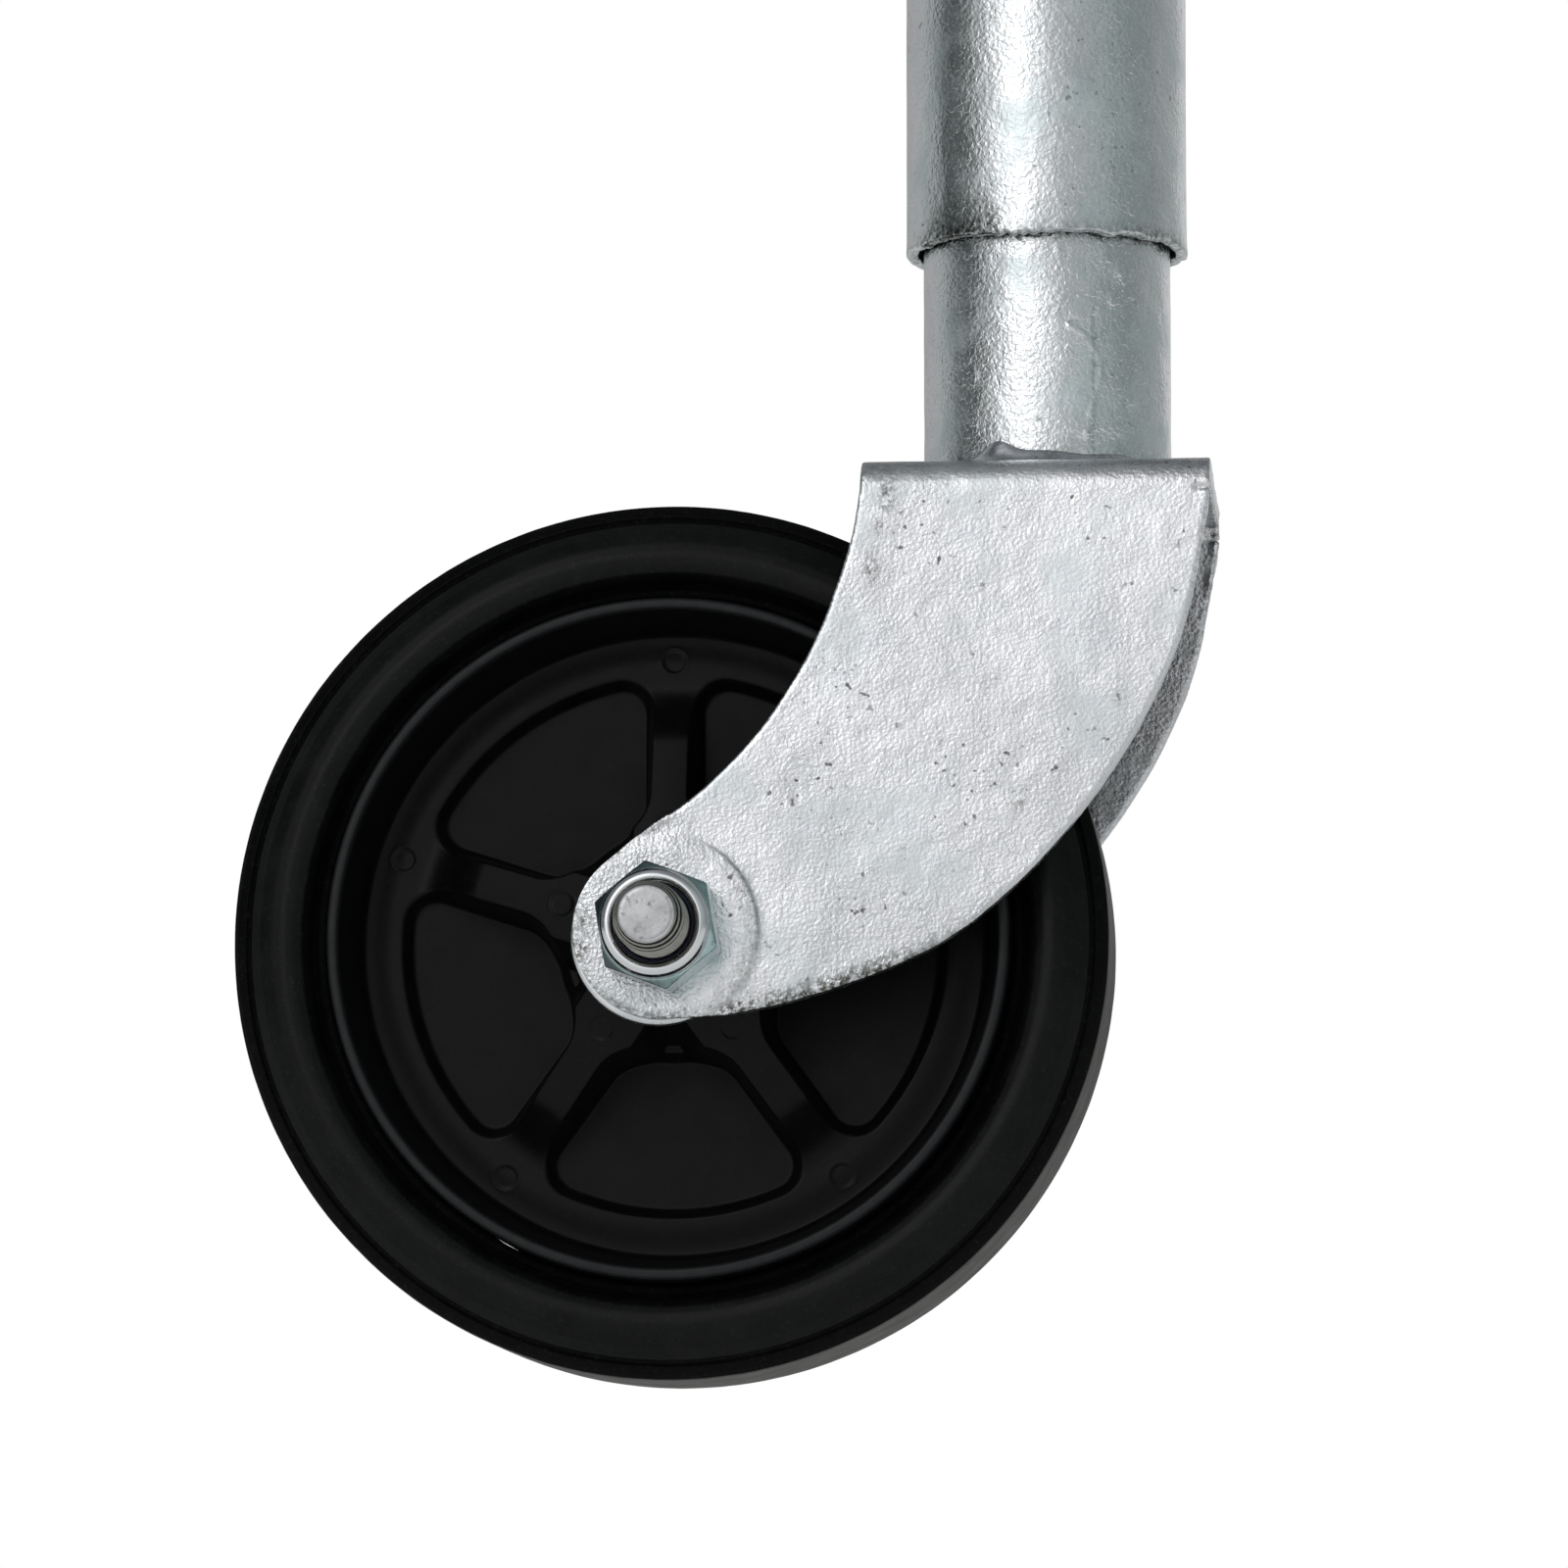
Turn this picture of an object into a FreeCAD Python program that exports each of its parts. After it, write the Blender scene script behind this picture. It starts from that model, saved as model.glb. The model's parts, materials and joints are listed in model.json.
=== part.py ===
import FreeCAD, Part
import math, os
from FreeCAD import Vector as V

os.makedirs("parts", exist_ok=True)

# Trailer tongue jack (clamp-type jockey wheel). Millimetres, +Z up.
# Origin: on the axis of the outer tube, half way up the tube, where a clamp grips it.
# X runs across the fork (the wheel trails towards -X), Y is the axle direction,
# the threaded end of the axle bolt points towards -Y.

# ---------------------------------------------------------------- driving dimensions
OUTER_R = 24.15          # outer tube, 48.3 mm outside
OUTER_WALL = 2.0
OUTER_LEN = 400.0
EXPOSED = 39.7           # inner tube showing between the outer tube and the fork

INNER_R = 21.2           # inner tube, 42.4 mm outside
INNER_WALL = 2.0
INNER_LEN = 370.0

LIFT_UP = 31.0           # travel from this pose to fully wound in
LIFT_DOWN = 189.0        # travel from this pose to fully wound out
SCREW_LEAD = 4.0         # trapezoidal lift screw, one start

FORK_W = 62.0            # over the outer faces of the side plates
PLATE_T = 3.5
BEND_R = 5.5             # outside radius of the two bends
PAD_R = 16.3             # round pressed pad around each axle hole
PAD_OUT = 1.5            # how far the pad stands out of the side plate
FORK_END_R = 14.85       # rounded lower end of each side plate
AXLE_X = -63.7           # axle, from the tube axis
AXLE_DROP = 79.8         # axle, below the fork's top face
AXLE_HOLE_R = 6.25

BOLT_R = 6.0             # M12
BOLT_LEN = 90.0
HEX_AF = 19.0
HEAD_H = 7.5
NUT_H = 12.0
NUT_HEX_H = 8.8
NUT_COLLAR_R = 8.66
WASHER_R = 15.0
WASHER_T = 2.5
WASHER_HOLE_R = 7.0
WASHER_SAG = 0.75        # the loose washers hang on the bolt, a little off to one side
WASHER_OFF = -0.55

TREAD_R = 74.5
TREAD_HALF = 14.2
SEAT_R = 58.3            # where the tyre sits on the wheel
LIP_R = 57.4
LIP_HALF = 21.5
RING_HALF = 7.0          # spoke and ring faces
WEB_FRONT = -4.2         # closed web between the spokes, its two faces along Y
WEB_BACK = -1.2
RIB_HALF = 2.95          # spoke ribs: half their width
RIB_TOP_IN = 21.5        # rib height beside the hub
RIB_KNEE = (35.0, 13.9)  # where the crest turns down to the ring: radius, height
WINDOW_OUT_R = 46.6
WINDOW_IN_R = 18.2
SPOKE_HALF = 5.2
HUB_R = 13.5
HUB_HALF = 26.2
BUSH_R = 10.0
SLEEVE_R = 8.0

SPINDLE_R = 8.0
CRANK_R = 130.0          # crank arm, centre to centre
ARM_R = 7.0
ARM_Z = 222.0
GRIP_Z0 = 252.0
GRIP_Z1 = 352.0

# ---------------------------------------------------------------- derived heights
TUBE_TOP = OUTER_LEN / 2
TUBE_END = -OUTER_LEN / 2
FORK_Z = TUBE_END - EXPOSED            # top face of the fork
AXLE_Z = FORK_Z - AXLE_DROP
INNER_TOP = FORK_Z + INNER_LEN
HALF_W = FORK_W / 2
PAD_FACE = HALF_W + PAD_OUT            # outer face of the pads
PAD_BACK = PAD_FACE - PLATE_T

Z = V(0, 0, 1)
Y = V(0, 1, 0)
X = V(1, 0, 0)


def save(shape, name):
    shape = shape.removeSplitter() if len(shape.Solids) == 1 else shape
    assert shape.isValid(), name
    shape.exportStep(os.path.join("parts", name + ".step"))
    print("%-18s solids %d  volume %.1f mm3" % (name, len(shape.Solids), shape.Volume))


def cyl(r, p0, axis, length):
    return Part.makeCylinder(r, length, p0, axis)


def ring_z(ro, ri, z0, z1):
    return cyl(ro, V(0, 0, z0), Z, z1 - z0).cut(cyl(ri, V(0, 0, z0 - 1), Z, z1 - z0 + 2))


def path(items):
    """Closed wire from points; an entry of three points is an arc."""
    edges = []
    last = items[0]
    for it in items[1:] + [items[0]]:
        if isinstance(it, tuple):
            mid, end = it
            edges.append(Part.Arc(last, mid, end).toShape())
            last = end
        else:
            if (it - last).Length > 1e-6:
                edges.append(Part.LineSegment(last, it).toShape())
            last = it
    return Part.Wire(edges)


def turn_z(items):
    """Solid of revolution about Z from (r, z) points."""
    def c(p):
        return V(p[0], 0, p[1])
    its = [tuple(c(q) for q in p) if isinstance(p[0], tuple) else c(p) for p in items]
    return Part.Face(path(its)).revolve(V(0, 0, 0), Z, 360)


def turn_axle(items):
    """Solid of revolution about the axle from (r, y) points."""
    def c(p):
        return V(AXLE_X + p[0], p[1], AXLE_Z)
    its = [tuple(c(q) for q in p) if isinstance(p[0], tuple) else c(p) for p in items]
    return Part.Face(path(its)).revolve(V(AXLE_X, 0, AXLE_Z), Y, 360)


def solid(s):
    return s if s.ShapeType == "Solid" else Part.makeSolid(s) if s.ShapeType == "Shell" else s.Solids[0]


def hexagon(af, y0, y1, turn_deg):
    rc = af / math.sqrt(3)
    pts = []
    for i in range(7):
        a = math.radians(turn_deg + 60 * i)
        pts.append(V(AXLE_X + rc * math.cos(a), y0, AXLE_Z + rc * math.sin(a)))
    f = Part.Face(Part.makePolygon(pts))
    return f.extrude(V(0, y1 - y0, 0))


# ---------------------------------------------------------------- outer tube and its top
outer_tube = ring_z(OUTER_R, OUTER_R - OUTER_WALL, TUBE_END, TUBE_TOP)
save(outer_tube, "outer_tube")

bore = OUTER_R - OUTER_WALL
PLATE_Z0 = TUBE_TOP - 12.0
bearing_plate = ring_z(bore - 0.05, 9.0, PLATE_Z0, PLATE_Z0 + 6.0)
save(bearing_plate, "bearing_plate")

top_cap = turn_z([(8.2, TUBE_TOP - 5.7), (bore - 0.1, TUBE_TOP - 5.7), (bore - 0.1, TUBE_TOP),
                  (23.9, TUBE_TOP), (23.9, TUBE_TOP + 2.6), (22.5, TUBE_TOP + 4.0), (8.2, TUBE_TOP + 4.0)])
save(top_cap, "top_cap")

# ---------------------------------------------------------------- thrust ball bearing 17 x 30 x 9
BRG_TOP = PLATE_Z0
BRG_MID = BRG_TOP - 4.5
BALL_R = 2.38
BALL_PCR = 11.75
groove = Part.makeTorus(BALL_PCR, BALL_R + 0.1, V(0, 0, BRG_MID), Z)
upper_race = ring_z(15.0, 8.75, BRG_TOP - 2.7, BRG_TOP).cut(groove)
save(upper_race, "upper_race")
lower_race = ring_z(15.0, 8.6, BRG_TOP - 9.0, BRG_TOP - 6.3).cut(groove)
save(lower_race, "lower_race")
balls = []
pockets = []
N_BALLS = 11
for i in range(N_BALLS):
    a = 2 * math.pi * i / N_BALLS
    c = V(BALL_PCR * math.cos(a), BALL_PCR * math.sin(a), BRG_MID)
    balls.append(Part.makeSphere(BALL_R, c))
    pockets.append(cyl(BALL_R + 0.12, c - Z * 2, Z, 4))
save(Part.makeCompound(balls), "bearing_balls")
ball_cage = ring_z(14.7, 8.95, BRG_MID - 0.8, BRG_MID + 0.8)
for p in pockets:
    ball_cage = ball_cage.cut(p)
save(ball_cage, "ball_cage")

# ---------------------------------------------------------------- lift screw and crank
COLLAR_Z1 = BRG_TOP - 9.0
COLLAR_Z0 = COLLAR_Z1 - 8.0
HUB_Z0 = TUBE_TOP + 6.5
HUB_Z1 = HUB_Z0 + 30.0
spindle = turn_z([(0, -100.0), (6.2, -100.0), (SPINDLE_R, -98.0), (SPINDLE_R, PLATE_Z0 - 1.5),
                  (7.4, PLATE_Z0 - 1.0), (7.4, HUB_Z0 - 0.6), (7.0, HUB_Z0 - 0.2), (7.0, HUB_Z1 - 1.5), (0, HUB_Z1 - 1.5)])
PIN_Z = ARM_Z
spindle = solid(spindle).cut(cyl(3.0, V(0, -20, PIN_Z), Y, 40))
save(spindle, "spindle")
spindle_collar = turn_z([(SPINDLE_R + 0.03, COLLAR_Z0), (12.5, COLLAR_Z0), (14.0, COLLAR_Z0 + 1.5),
                         (14.0, COLLAR_Z1), (SPINDLE_R + 0.03, COLLAR_Z1)])
save(spindle_collar, "spindle_collar")

crank_hub = turn_z([(7.03, HUB_Z0), (11.8, HUB_Z0), (13.0, HUB_Z0 + 1.2), (13.0, HUB_Z1 - 1.2),
                    (11.8, HUB_Z1), (7.03, HUB_Z1)])
crank_hub = solid(crank_hub).cut(cyl(3.0, V(0, -20, PIN_Z), Y, 40))
save(crank_hub, "crank_hub")
crank_pin = cyl(2.97, V(0, -14.5, PIN_Z), Y, 29.0)
save(crank_pin, "crank_pin")

# crank arm: round bar, out along +X, one bend, then up; its inner end is coped to the hub
BEND_ARM = 26.0
run = cyl(ARM_R, V(0, 0, ARM_Z), X, CRANK_R - BEND_ARM)
sec = Part.Face(Part.Wire(Part.makeCircle(ARM_R, V(CRANK_R - BEND_ARM, 0, ARM_Z), X)))
elbow = sec.revolve(V(CRANK_R - BEND_ARM, 0, ARM_Z + BEND_ARM), V(0, -1, 0), 90)
post = cyl(ARM_R, V(CRANK_R, 0, ARM_Z + BEND_ARM), Z, GRIP_Z1 + 2.0 - ARM_Z - BEND_ARM)
crank_arm = run.fuse([elbow, post]).removeSplitter()
crank_arm = crank_arm.cut(cyl(13.03, V(0, 0, ARM_Z - 30), Z, 60))
crank_arm = crank_arm.cut(cyl(3.02, V(CRANK_R, 0, GRIP_Z1 - 16.0), Z, 30))
save(crank_arm, "crank_arm")


def turn_grip(items):
    def c(p):
        return V(CRANK_R + p[0], 0, p[1])
    its = [tuple(c(q) for q in p) if isinstance(p[0], tuple) else c(p) for p in items]
    return Part.Face(path(its)).revolve(V(CRANK_R, 0, 0), Z, 360)


gm = (GRIP_Z0 + GRIP_Z1) / 2
handle_grip = turn_grip([(ARM_R + 0.3, GRIP_Z0), (15.5, GRIP_Z0), (16.5, GRIP_Z0 + 1.0), (16.5, GRIP_Z0 + 4.0),
                         (13.0, GRIP_Z0 + 9.0), ((14.6, gm), (12.6, GRIP_Z1 - 8.0)), ((14.4, GRIP_Z1 - 4.0), (12.2, GRIP_Z1)),
                         (ARM_R + 0.3, GRIP_Z1)])
save(handle_grip, "handle_grip")
grip_washer = turn_grip([(3.2, GRIP_Z1 + 2.0), (11.0, GRIP_Z1 + 2.0), (11.0, GRIP_Z1 + 3.6), (3.2, GRIP_Z1 + 3.6)])
save(grip_washer, "grip_washer")
gz = GRIP_Z1 + 3.6
grip_screw = turn_grip([(0, GRIP_Z1 - 14.0), (3.0, GRIP_Z1 - 14.0), (3.0, gz), (5.3, gz), ((4.4, gz + 2.4), (2.0, gz + 3.3)), (0, gz + 3.3)])
save(grip_screw, "grip_screw")

# ---------------------------------------------------------------- lift nut
NUT_R = INNER_R - INNER_WALL - 0.3
lift_nut = turn_z([(SPINDLE_R + 0.08, INNER_TOP - 28.0), (NUT_R - 1.0, INNER_TOP - 28.0), (NUT_R, INNER_TOP - 27.0),
                   (NUT_R, INNER_TOP + 0.3), (INNER_R - 0.2, INNER_TOP + 0.3), (INNER_R - 0.2, INNER_TOP + 4.3),
                   (SPINDLE_R + 0.08, INNER_TOP + 4.3)])
save(lift_nut, "lift_nut")

# ---------------------------------------------------------------- inner tube, weld, fork
inner_tube = ring_z(INNER_R, INNER_R - INNER_WALL, FORK_Z, INNER_TOP)
save(inner_tube, "inner_tube")
weld_bead = turn_z([(INNER_R + 0.02, FORK_Z), (INNER_R + 3.6, FORK_Z), ((INNER_R + 1.75, FORK_Z + 1.75), (INNER_R + 0.02, FORK_Z + 3.4))])
save(weld_bead, "weld_bead")

# side outline of the fork in the X-Z plane, heights below the fork's top face
front_edge = [(-30.3, -5.5), (-30.8, -9.0), (-31.6, -13.3), (-33.3, -19.2), (-36.4, -27.6), (-42.4, -39.2),
              (-48.8, -47.9), (-55.6, -54.9), (-61.6, -59.7), (-68.0, -64.1)]
back_edge = [(-49.8, -93.6), (-34.0, -89.5), (-16.9, -82.3), (-4.6, -72.9), (7.4, -59.6), (16.2, -46.6),
             (22.1, -34.6), (25.7, -22.8), (27.7, -11.5), (28.5, -5.5)]
TH0 = math.radians(127.0)       # where the front edge meets the rounded end
TH1 = math.radians(273.0)       # where the back edge leaves it
up = [V(x, 0, FORK_Z + z) for x, z in front_edge]
dn = [V(x, 0, FORK_Z + z) for x, z in back_edge]


def on_end(th):
    return V(AXLE_X + FORK_END_R * math.cos(th), 0, AXLE_Z + FORK_END_R * math.sin(th))


def spline(pts, t0, t1):
    c = Part.BSplineCurve()
    c.interpolate(Points=pts, InitialTangent=t0, FinalTangent=t1)
    return c


pe0, pe1 = on_end(TH0), on_end(TH1)
tan0 = V(-math.sin(TH0), 0, math.cos(TH0))
tan1 = V(-math.sin(TH1), 0, math.cos(TH1))
c_front = spline(up + [pe0], V(-0.12, 0, -1), tan0)
c_back = spline([pe1] + dn, tan1, V(0.08, 0, 1))
corner_f = V(-30.2, 0, FORK_Z + 3)
corner_b = V(28.7, 0, FORK_Z + 3)
outline = Part.Wire([
    Part.LineSegment(corner_f, up[0]).toShape(),
    c_front.toShape(),
    Part.Arc(pe0, on_end((TH0 + TH1) / 2), pe1).toShape(),
    c_back.toShape(),
    Part.LineSegment(dn[-1], corner_b).toShape(),
    Part.LineSegment(corner_b, corner_f).toShape(),
])
prism = Part.Face(outline).extrude(V(0, 100, 0)).translated(V(0, -50, 0))

# folded U section in the Y-Z plane, run along X
zt = FORK_Z
zb = AXLE_Z - 40.0
ri = BEND_R - PLATE_T
s = math.sqrt(0.5)


def p(y, z):
    return V(-120, y, z)


sec = path([
    p(-HALF_W, zb), p(-HALF_W, zt - BEND_R),
    (p(-HALF_W + BEND_R * (1 - s), zt - BEND_R * (1 - s)), p(-HALF_W + BEND_R, zt)),
    p(HALF_W - BEND_R, zt),
    (p(HALF_W - BEND_R * (1 - s), zt - BEND_R * (1 - s)), p(HALF_W, zt - BEND_R)),
    p(HALF_W, zb), p(HALF_W - PLATE_T, zb), p(HALF_W - PLATE_T, zt - BEND_R),
    (p(HALF_W - BEND_R + ri * s, zt - BEND_R + ri * s), p(HALF_W - BEND_R, zt - PLATE_T)),
    p(-HALF_W + BEND_R, zt - PLATE_T),
    (p(-HALF_W + BEND_R - ri * s, zt - BEND_R + ri * s), p(-HALF_W + PLATE_T, zt - BEND_R)),
    p(-HALF_W + PLATE_T, zb),
])
channel = Part.Face(sec).extrude(V(200, 0, 0))
fork = channel.common(prism)
for side in (-1, 1):
    y_in = side * (HALF_W - PLATE_T - 2)
    fork = fork.cut(cyl(PAD_R, V(AXLE_X, y_in, AXLE_Z), Y * side, PLATE_T + 6))
for side in (-1, 1):
    disc = cyl(PAD_R, V(AXLE_X, side * PAD_BACK, AXLE_Z), Y * side, PLATE_T)
    fork = fork.fuse(disc.common(prism))
fork = fork.cut(cyl(AXLE_HOLE_R, V(AXLE_X, -60, AXLE_Z), Y, 120))
# relief cut at the foot of each bend
for side in (-1, 1):
    y0 = -HALF_W - 1 if side < 0 else HALF_W - PLATE_T - 1
    fork = fork.cut(Part.makeBox(8, PLATE_T + 2, 0.9, V(25.9, y0, FORK_Z - BEND_R - 0.7)))
save(fork, "fork")

# ---------------------------------------------------------------- axle bolt, nut, washers, sleeve
HEAD_Y = PAD_FACE
BOLT_END = HEAD_Y - BOLT_LEN
shank = turn_axle([(0, BOLT_END), (BOLT_R - 1.3, BOLT_END), (BOLT_R, BOLT_END + 1.3), (BOLT_R, HEAD_Y), (0, HEAD_Y)])
head = hexagon(HEX_AF, HEAD_Y, HEAD_Y + HEAD_H, 12.0)
rc = HEX_AF / math.sqrt(3)
head_limit = turn_axle([(0, HEAD_Y), (rc + 1, HEAD_Y), (rc + 1, HEAD_Y + HEAD_H - 2.4), (HEX_AF / 2 - 0.4, HEAD_Y + HEAD_H), (0, HEAD_Y + HEAD_H)])
axle_bolt = solid(shank).fuse(head.common(solid(head_limit)))
save(axle_bolt, "axle_bolt")

NUT_Y0 = -PAD_FACE
NUT_Y1 = NUT_Y0 - NUT_HEX_H
NUT_Y2 = NUT_Y0 - NUT_H
nut_hex = hexagon(HEX_AF, NUT_Y1, NUT_Y0, 39.5)
nut_limit = turn_axle([(0, NUT_Y0), (HEX_AF / 2 - 0.2, NUT_Y0), (rc + 0.3, NUT_Y0 - 1.2), (rc + 0.3, NUT_Y1 + 1.6),
                       (HEX_AF / 2 - 0.3, NUT_Y1), (0, NUT_Y1)])
nut_body = nut_hex.common(solid(nut_limit))
collar = turn_axle([(0, NUT_Y1 + 0.5), (NUT_COLLAR_R, NUT_Y1 + 0.5), (NUT_COLLAR_R, NUT_Y2 + 1.1),
                    ((NUT_COLLAR_R - 0.35, NUT_Y2 + 0.33), (NUT_COLLAR_R - 1.0, NUT_Y2)), (0, NUT_Y2)])
axle_nut = nut_body.fuse(solid(collar))
cavity = turn_axle([(0, NUT_Y2 + 2.6), (7.75, NUT_Y2 + 2.6), (7.75, NUT_Y2 + 0.5), (7.1, NUT_Y2), (7.1, NUT_Y2 - 1), (0, NUT_Y2 - 1)])
axle_nut = axle_nut.cut(solid(cavity)).cut(cyl(BOLT_R + 0.04, V(AXLE_X, NUT_Y2 - 2, AXLE_Z), Y, NUT_H + 4))
save(axle_nut, "axle_nut")
nut_insert = turn_axle([(BOLT_R + 0.04, NUT_Y2 + 2.5), (7.65, NUT_Y2 + 2.5), (7.65, NUT_Y2 + 0.7), (BOLT_R + 0.04, NUT_Y2 + 0.7)])
save(nut_insert, "nut_insert")

washers = []
for side in (-1, 1):
    c0 = V(AXLE_X + WASHER_OFF, side * (PAD_BACK - WASHER_T), AXLE_Z - WASHER_SAG)
    w = cyl(WASHER_R, c0, Y * side, WASHER_T).cut(cyl(WASHER_HOLE_R, c0 - Y * side, Y * side, WASHER_T + 2))
    washers.append(w)
save(Part.makeCompound(washers), "hub_washers")

SLEEVE_HALF = PAD_BACK - WASHER_T
axle_sleeve = cyl(SLEEVE_R, V(AXLE_X, -SLEEVE_HALF, AXLE_Z), Y, 2 * SLEEVE_HALF).cut(
    cyl(AXLE_HOLE_R, V(AXLE_X, -SLEEVE_HALF - 1, AXLE_Z), Y, 2 * SLEEVE_HALF + 2))
save(axle_sleeve, "axle_sleeve")

# ---------------------------------------------------------------- wheel
bushes = []
for side in (-1, 1):
    b = cyl(BUSH_R - 0.02, V(AXLE_X, side * 11.2, AXLE_Z), Y * side, HUB_HALF - 11.2)
    bushes.append(b.cut(cyl(SLEEVE_R + 0.08, V(AXLE_X, side * 10, AXLE_Z), Y * side, 20)))
save(Part.makeCompound(bushes), "hub_bushes")

half = [(9.0, 0), (9.0, 11.2), (BUSH_R, 11.2), (BUSH_R, HUB_HALF), (HUB_R - 0.8, HUB_HALF), (HUB_R, HUB_HALF - 0.8),
        (HUB_R + 0.9, RING_HALF + 2.5), (HUB_R + 3.2, RING_HALF), (51.8, RING_HALF), (53.2, RING_HALF + 1.2),
        (56.3, LIP_HALF - 0.5), (56.6, LIP_HALF), (LIP_R, LIP_HALF), (58.0, LIP_HALF - 0.7), (SEAT_R, LIP_HALF - 3.0)]
prof = half + [(r, -y) for r, y in reversed(half[1:])]
# the outer seat carries a low centre ridge that keys the tyre
seat = [(SEAT_R, 5.0), (SEAT_R + 1.6, 4.0), (SEAT_R + 1.6, -4.0), (SEAT_R, -5.0)]
prof = half + seat + [(r, -y) for r, y in reversed(half[1:])]
wheel = solid(turn_axle(prof))

windows = cyl(WINDOW_OUT_R, V(AXLE_X, -1, AXLE_Z), Y, 2).cut(cyl(WINDOW_IN_R, V(AXLE_X, -2, AXLE_Z), Y, 4))
for k in range(5):
    a = 18 + 72 * k
    bar = Part.makeBox(80, 4, 2 * SPOKE_HALF, V(0, -2, -SPOKE_HALF))
    bar.rotate(V(0, 0, 0), V(0, -1, 0), a)
    bar.translate(V(AXLE_X, 0, AXLE_Z))
    windows = windows.cut(bar)
rounded = []
for w in windows.Solids:
    upright = [e for e in w.Edges if abs(abs(e.tangentAt(e.FirstParameter).y) - 1) < 1e-6]
    rounded.append(w.makeFillet(6.5, upright))
for w in rounded:
    face = [f for f in w.Faces if abs(f.normalAt(0, 0).y + 1) < 1e-6][0]
    for side in (-1, 1):
        f2 = face.translated(V(0, 1 + (WEB_BACK if side > 0 else WEB_FRONT), 0))
        pocket = f2.extrude(V(0, side * 40, 0))
        wheel = wheel.cut(pocket)
# one tapering rib on each spoke and each side, highest beside the hub
RIB_IN = 12.0
RIB_OUT = 50.5
RIB_FOOT = (44.0, 7.4)
for k in range(5):
    for side in (-1, 1):
        prof = [V(RIB_IN, side * 3.0, -RIB_HALF), V(RIB_IN, side * RIB_TOP_IN, -RIB_HALF), V(RIB_KNEE[0], side * RIB_KNEE[1], -RIB_HALF),
                V(RIB_FOOT[0], side * RIB_FOOT[1], -RIB_HALF), V(RIB_OUT, side * 6.5, -RIB_HALF), V(RIB_OUT, side * 3.0, -RIB_HALF), V(RIB_IN, side * 3.0, -RIB_HALF)]
        rib = Part.Face(Part.makePolygon(prof)).extrude(V(0, 0, 2 * RIB_HALF))
        rib.rotate(V(0, 0, 0), V(0, -1, 0), 18 + 72 * k)
        rib.translate(V(AXLE_X, 0, AXLE_Z))
        wheel = wheel.fuse(rib)
wheel = wheel.cut(cyl(BUSH_R, V(AXLE_X, 11.2, AXLE_Z), Y, 20)).cut(cyl(BUSH_R, V(AXLE_X, -11.2, AXLE_Z), -Y, 20))
# the wheel is one moulding; it is saved as its outer rim and the disc inside it, which share a round face
SPLIT_R = 53.2
core = cyl(SPLIT_R, V(AXLE_X, -40, AXLE_Z), Y, 80)
save(wheel.cut(core), "wheel_rim")
save(wheel.common(core), "wheel_disc")

t_half = [(SEAT_R + 0.04, LIP_HALF - 3.2), (59.6, LIP_HALF - 3.2), ((65.0, 20.6), (70.8, 16.6)), (TREAD_R, TREAD_HALF)]
tyre = turn_axle(
    [(SEAT_R + 1.64, 0), (SEAT_R + 1.64, 4.02), (SEAT_R + 0.04, 5.02)] + t_half
    + [(TREAD_R, -TREAD_HALF), (70.8, -16.6), ((65.0, -20.6), (59.6, -LIP_HALF + 3.2)), (SEAT_R + 0.04, -LIP_HALF + 3.2),
       (SEAT_R + 0.04, -5.02), (SEAT_R + 1.64, -4.02)])
save(solid(tyre), "tyre")
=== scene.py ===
import bpy
import bmesh
import json
import math
import numpy as np
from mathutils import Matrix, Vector


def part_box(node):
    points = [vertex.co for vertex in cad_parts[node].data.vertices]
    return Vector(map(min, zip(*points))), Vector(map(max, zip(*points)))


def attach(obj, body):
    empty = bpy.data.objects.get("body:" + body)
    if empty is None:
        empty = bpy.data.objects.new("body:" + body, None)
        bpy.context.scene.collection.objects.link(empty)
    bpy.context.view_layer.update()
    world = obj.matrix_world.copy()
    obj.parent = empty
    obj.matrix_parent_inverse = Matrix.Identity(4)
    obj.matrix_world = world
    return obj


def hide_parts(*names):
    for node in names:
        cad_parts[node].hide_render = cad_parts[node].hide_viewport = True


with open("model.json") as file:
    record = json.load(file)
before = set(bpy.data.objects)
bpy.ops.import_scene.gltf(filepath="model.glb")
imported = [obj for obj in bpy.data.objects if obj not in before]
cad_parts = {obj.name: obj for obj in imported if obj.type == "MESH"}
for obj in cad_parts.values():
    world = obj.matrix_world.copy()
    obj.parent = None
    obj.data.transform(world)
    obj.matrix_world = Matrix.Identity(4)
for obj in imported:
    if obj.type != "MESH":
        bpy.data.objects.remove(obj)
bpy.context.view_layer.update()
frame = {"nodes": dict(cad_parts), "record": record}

# Trailer tongue jack (clamp-type jockey wheel): looks. Metres, in the row frame.
MM = 0.001


NODES = frame["nodes"]
RNG = np.random.RandomState(41)

# ---------------------------------------------------------------- driving dimensions (millimetres)
OUTER_R, OUTER_IN = 24.15, 22.15
TUBE_TOP, TUBE_END = 200.0, -200.0
INNER_R, INNER_IN = 21.2, 19.2
FORK_Z = -239.7
INNER_TOP = FORK_Z + 370.0
AX, AZ = -63.7, -319.5
PAD_FACE, PAD_R = 32.5, 16.3
HALF_W = 31.0
HUB_HALF = 26.2


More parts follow.
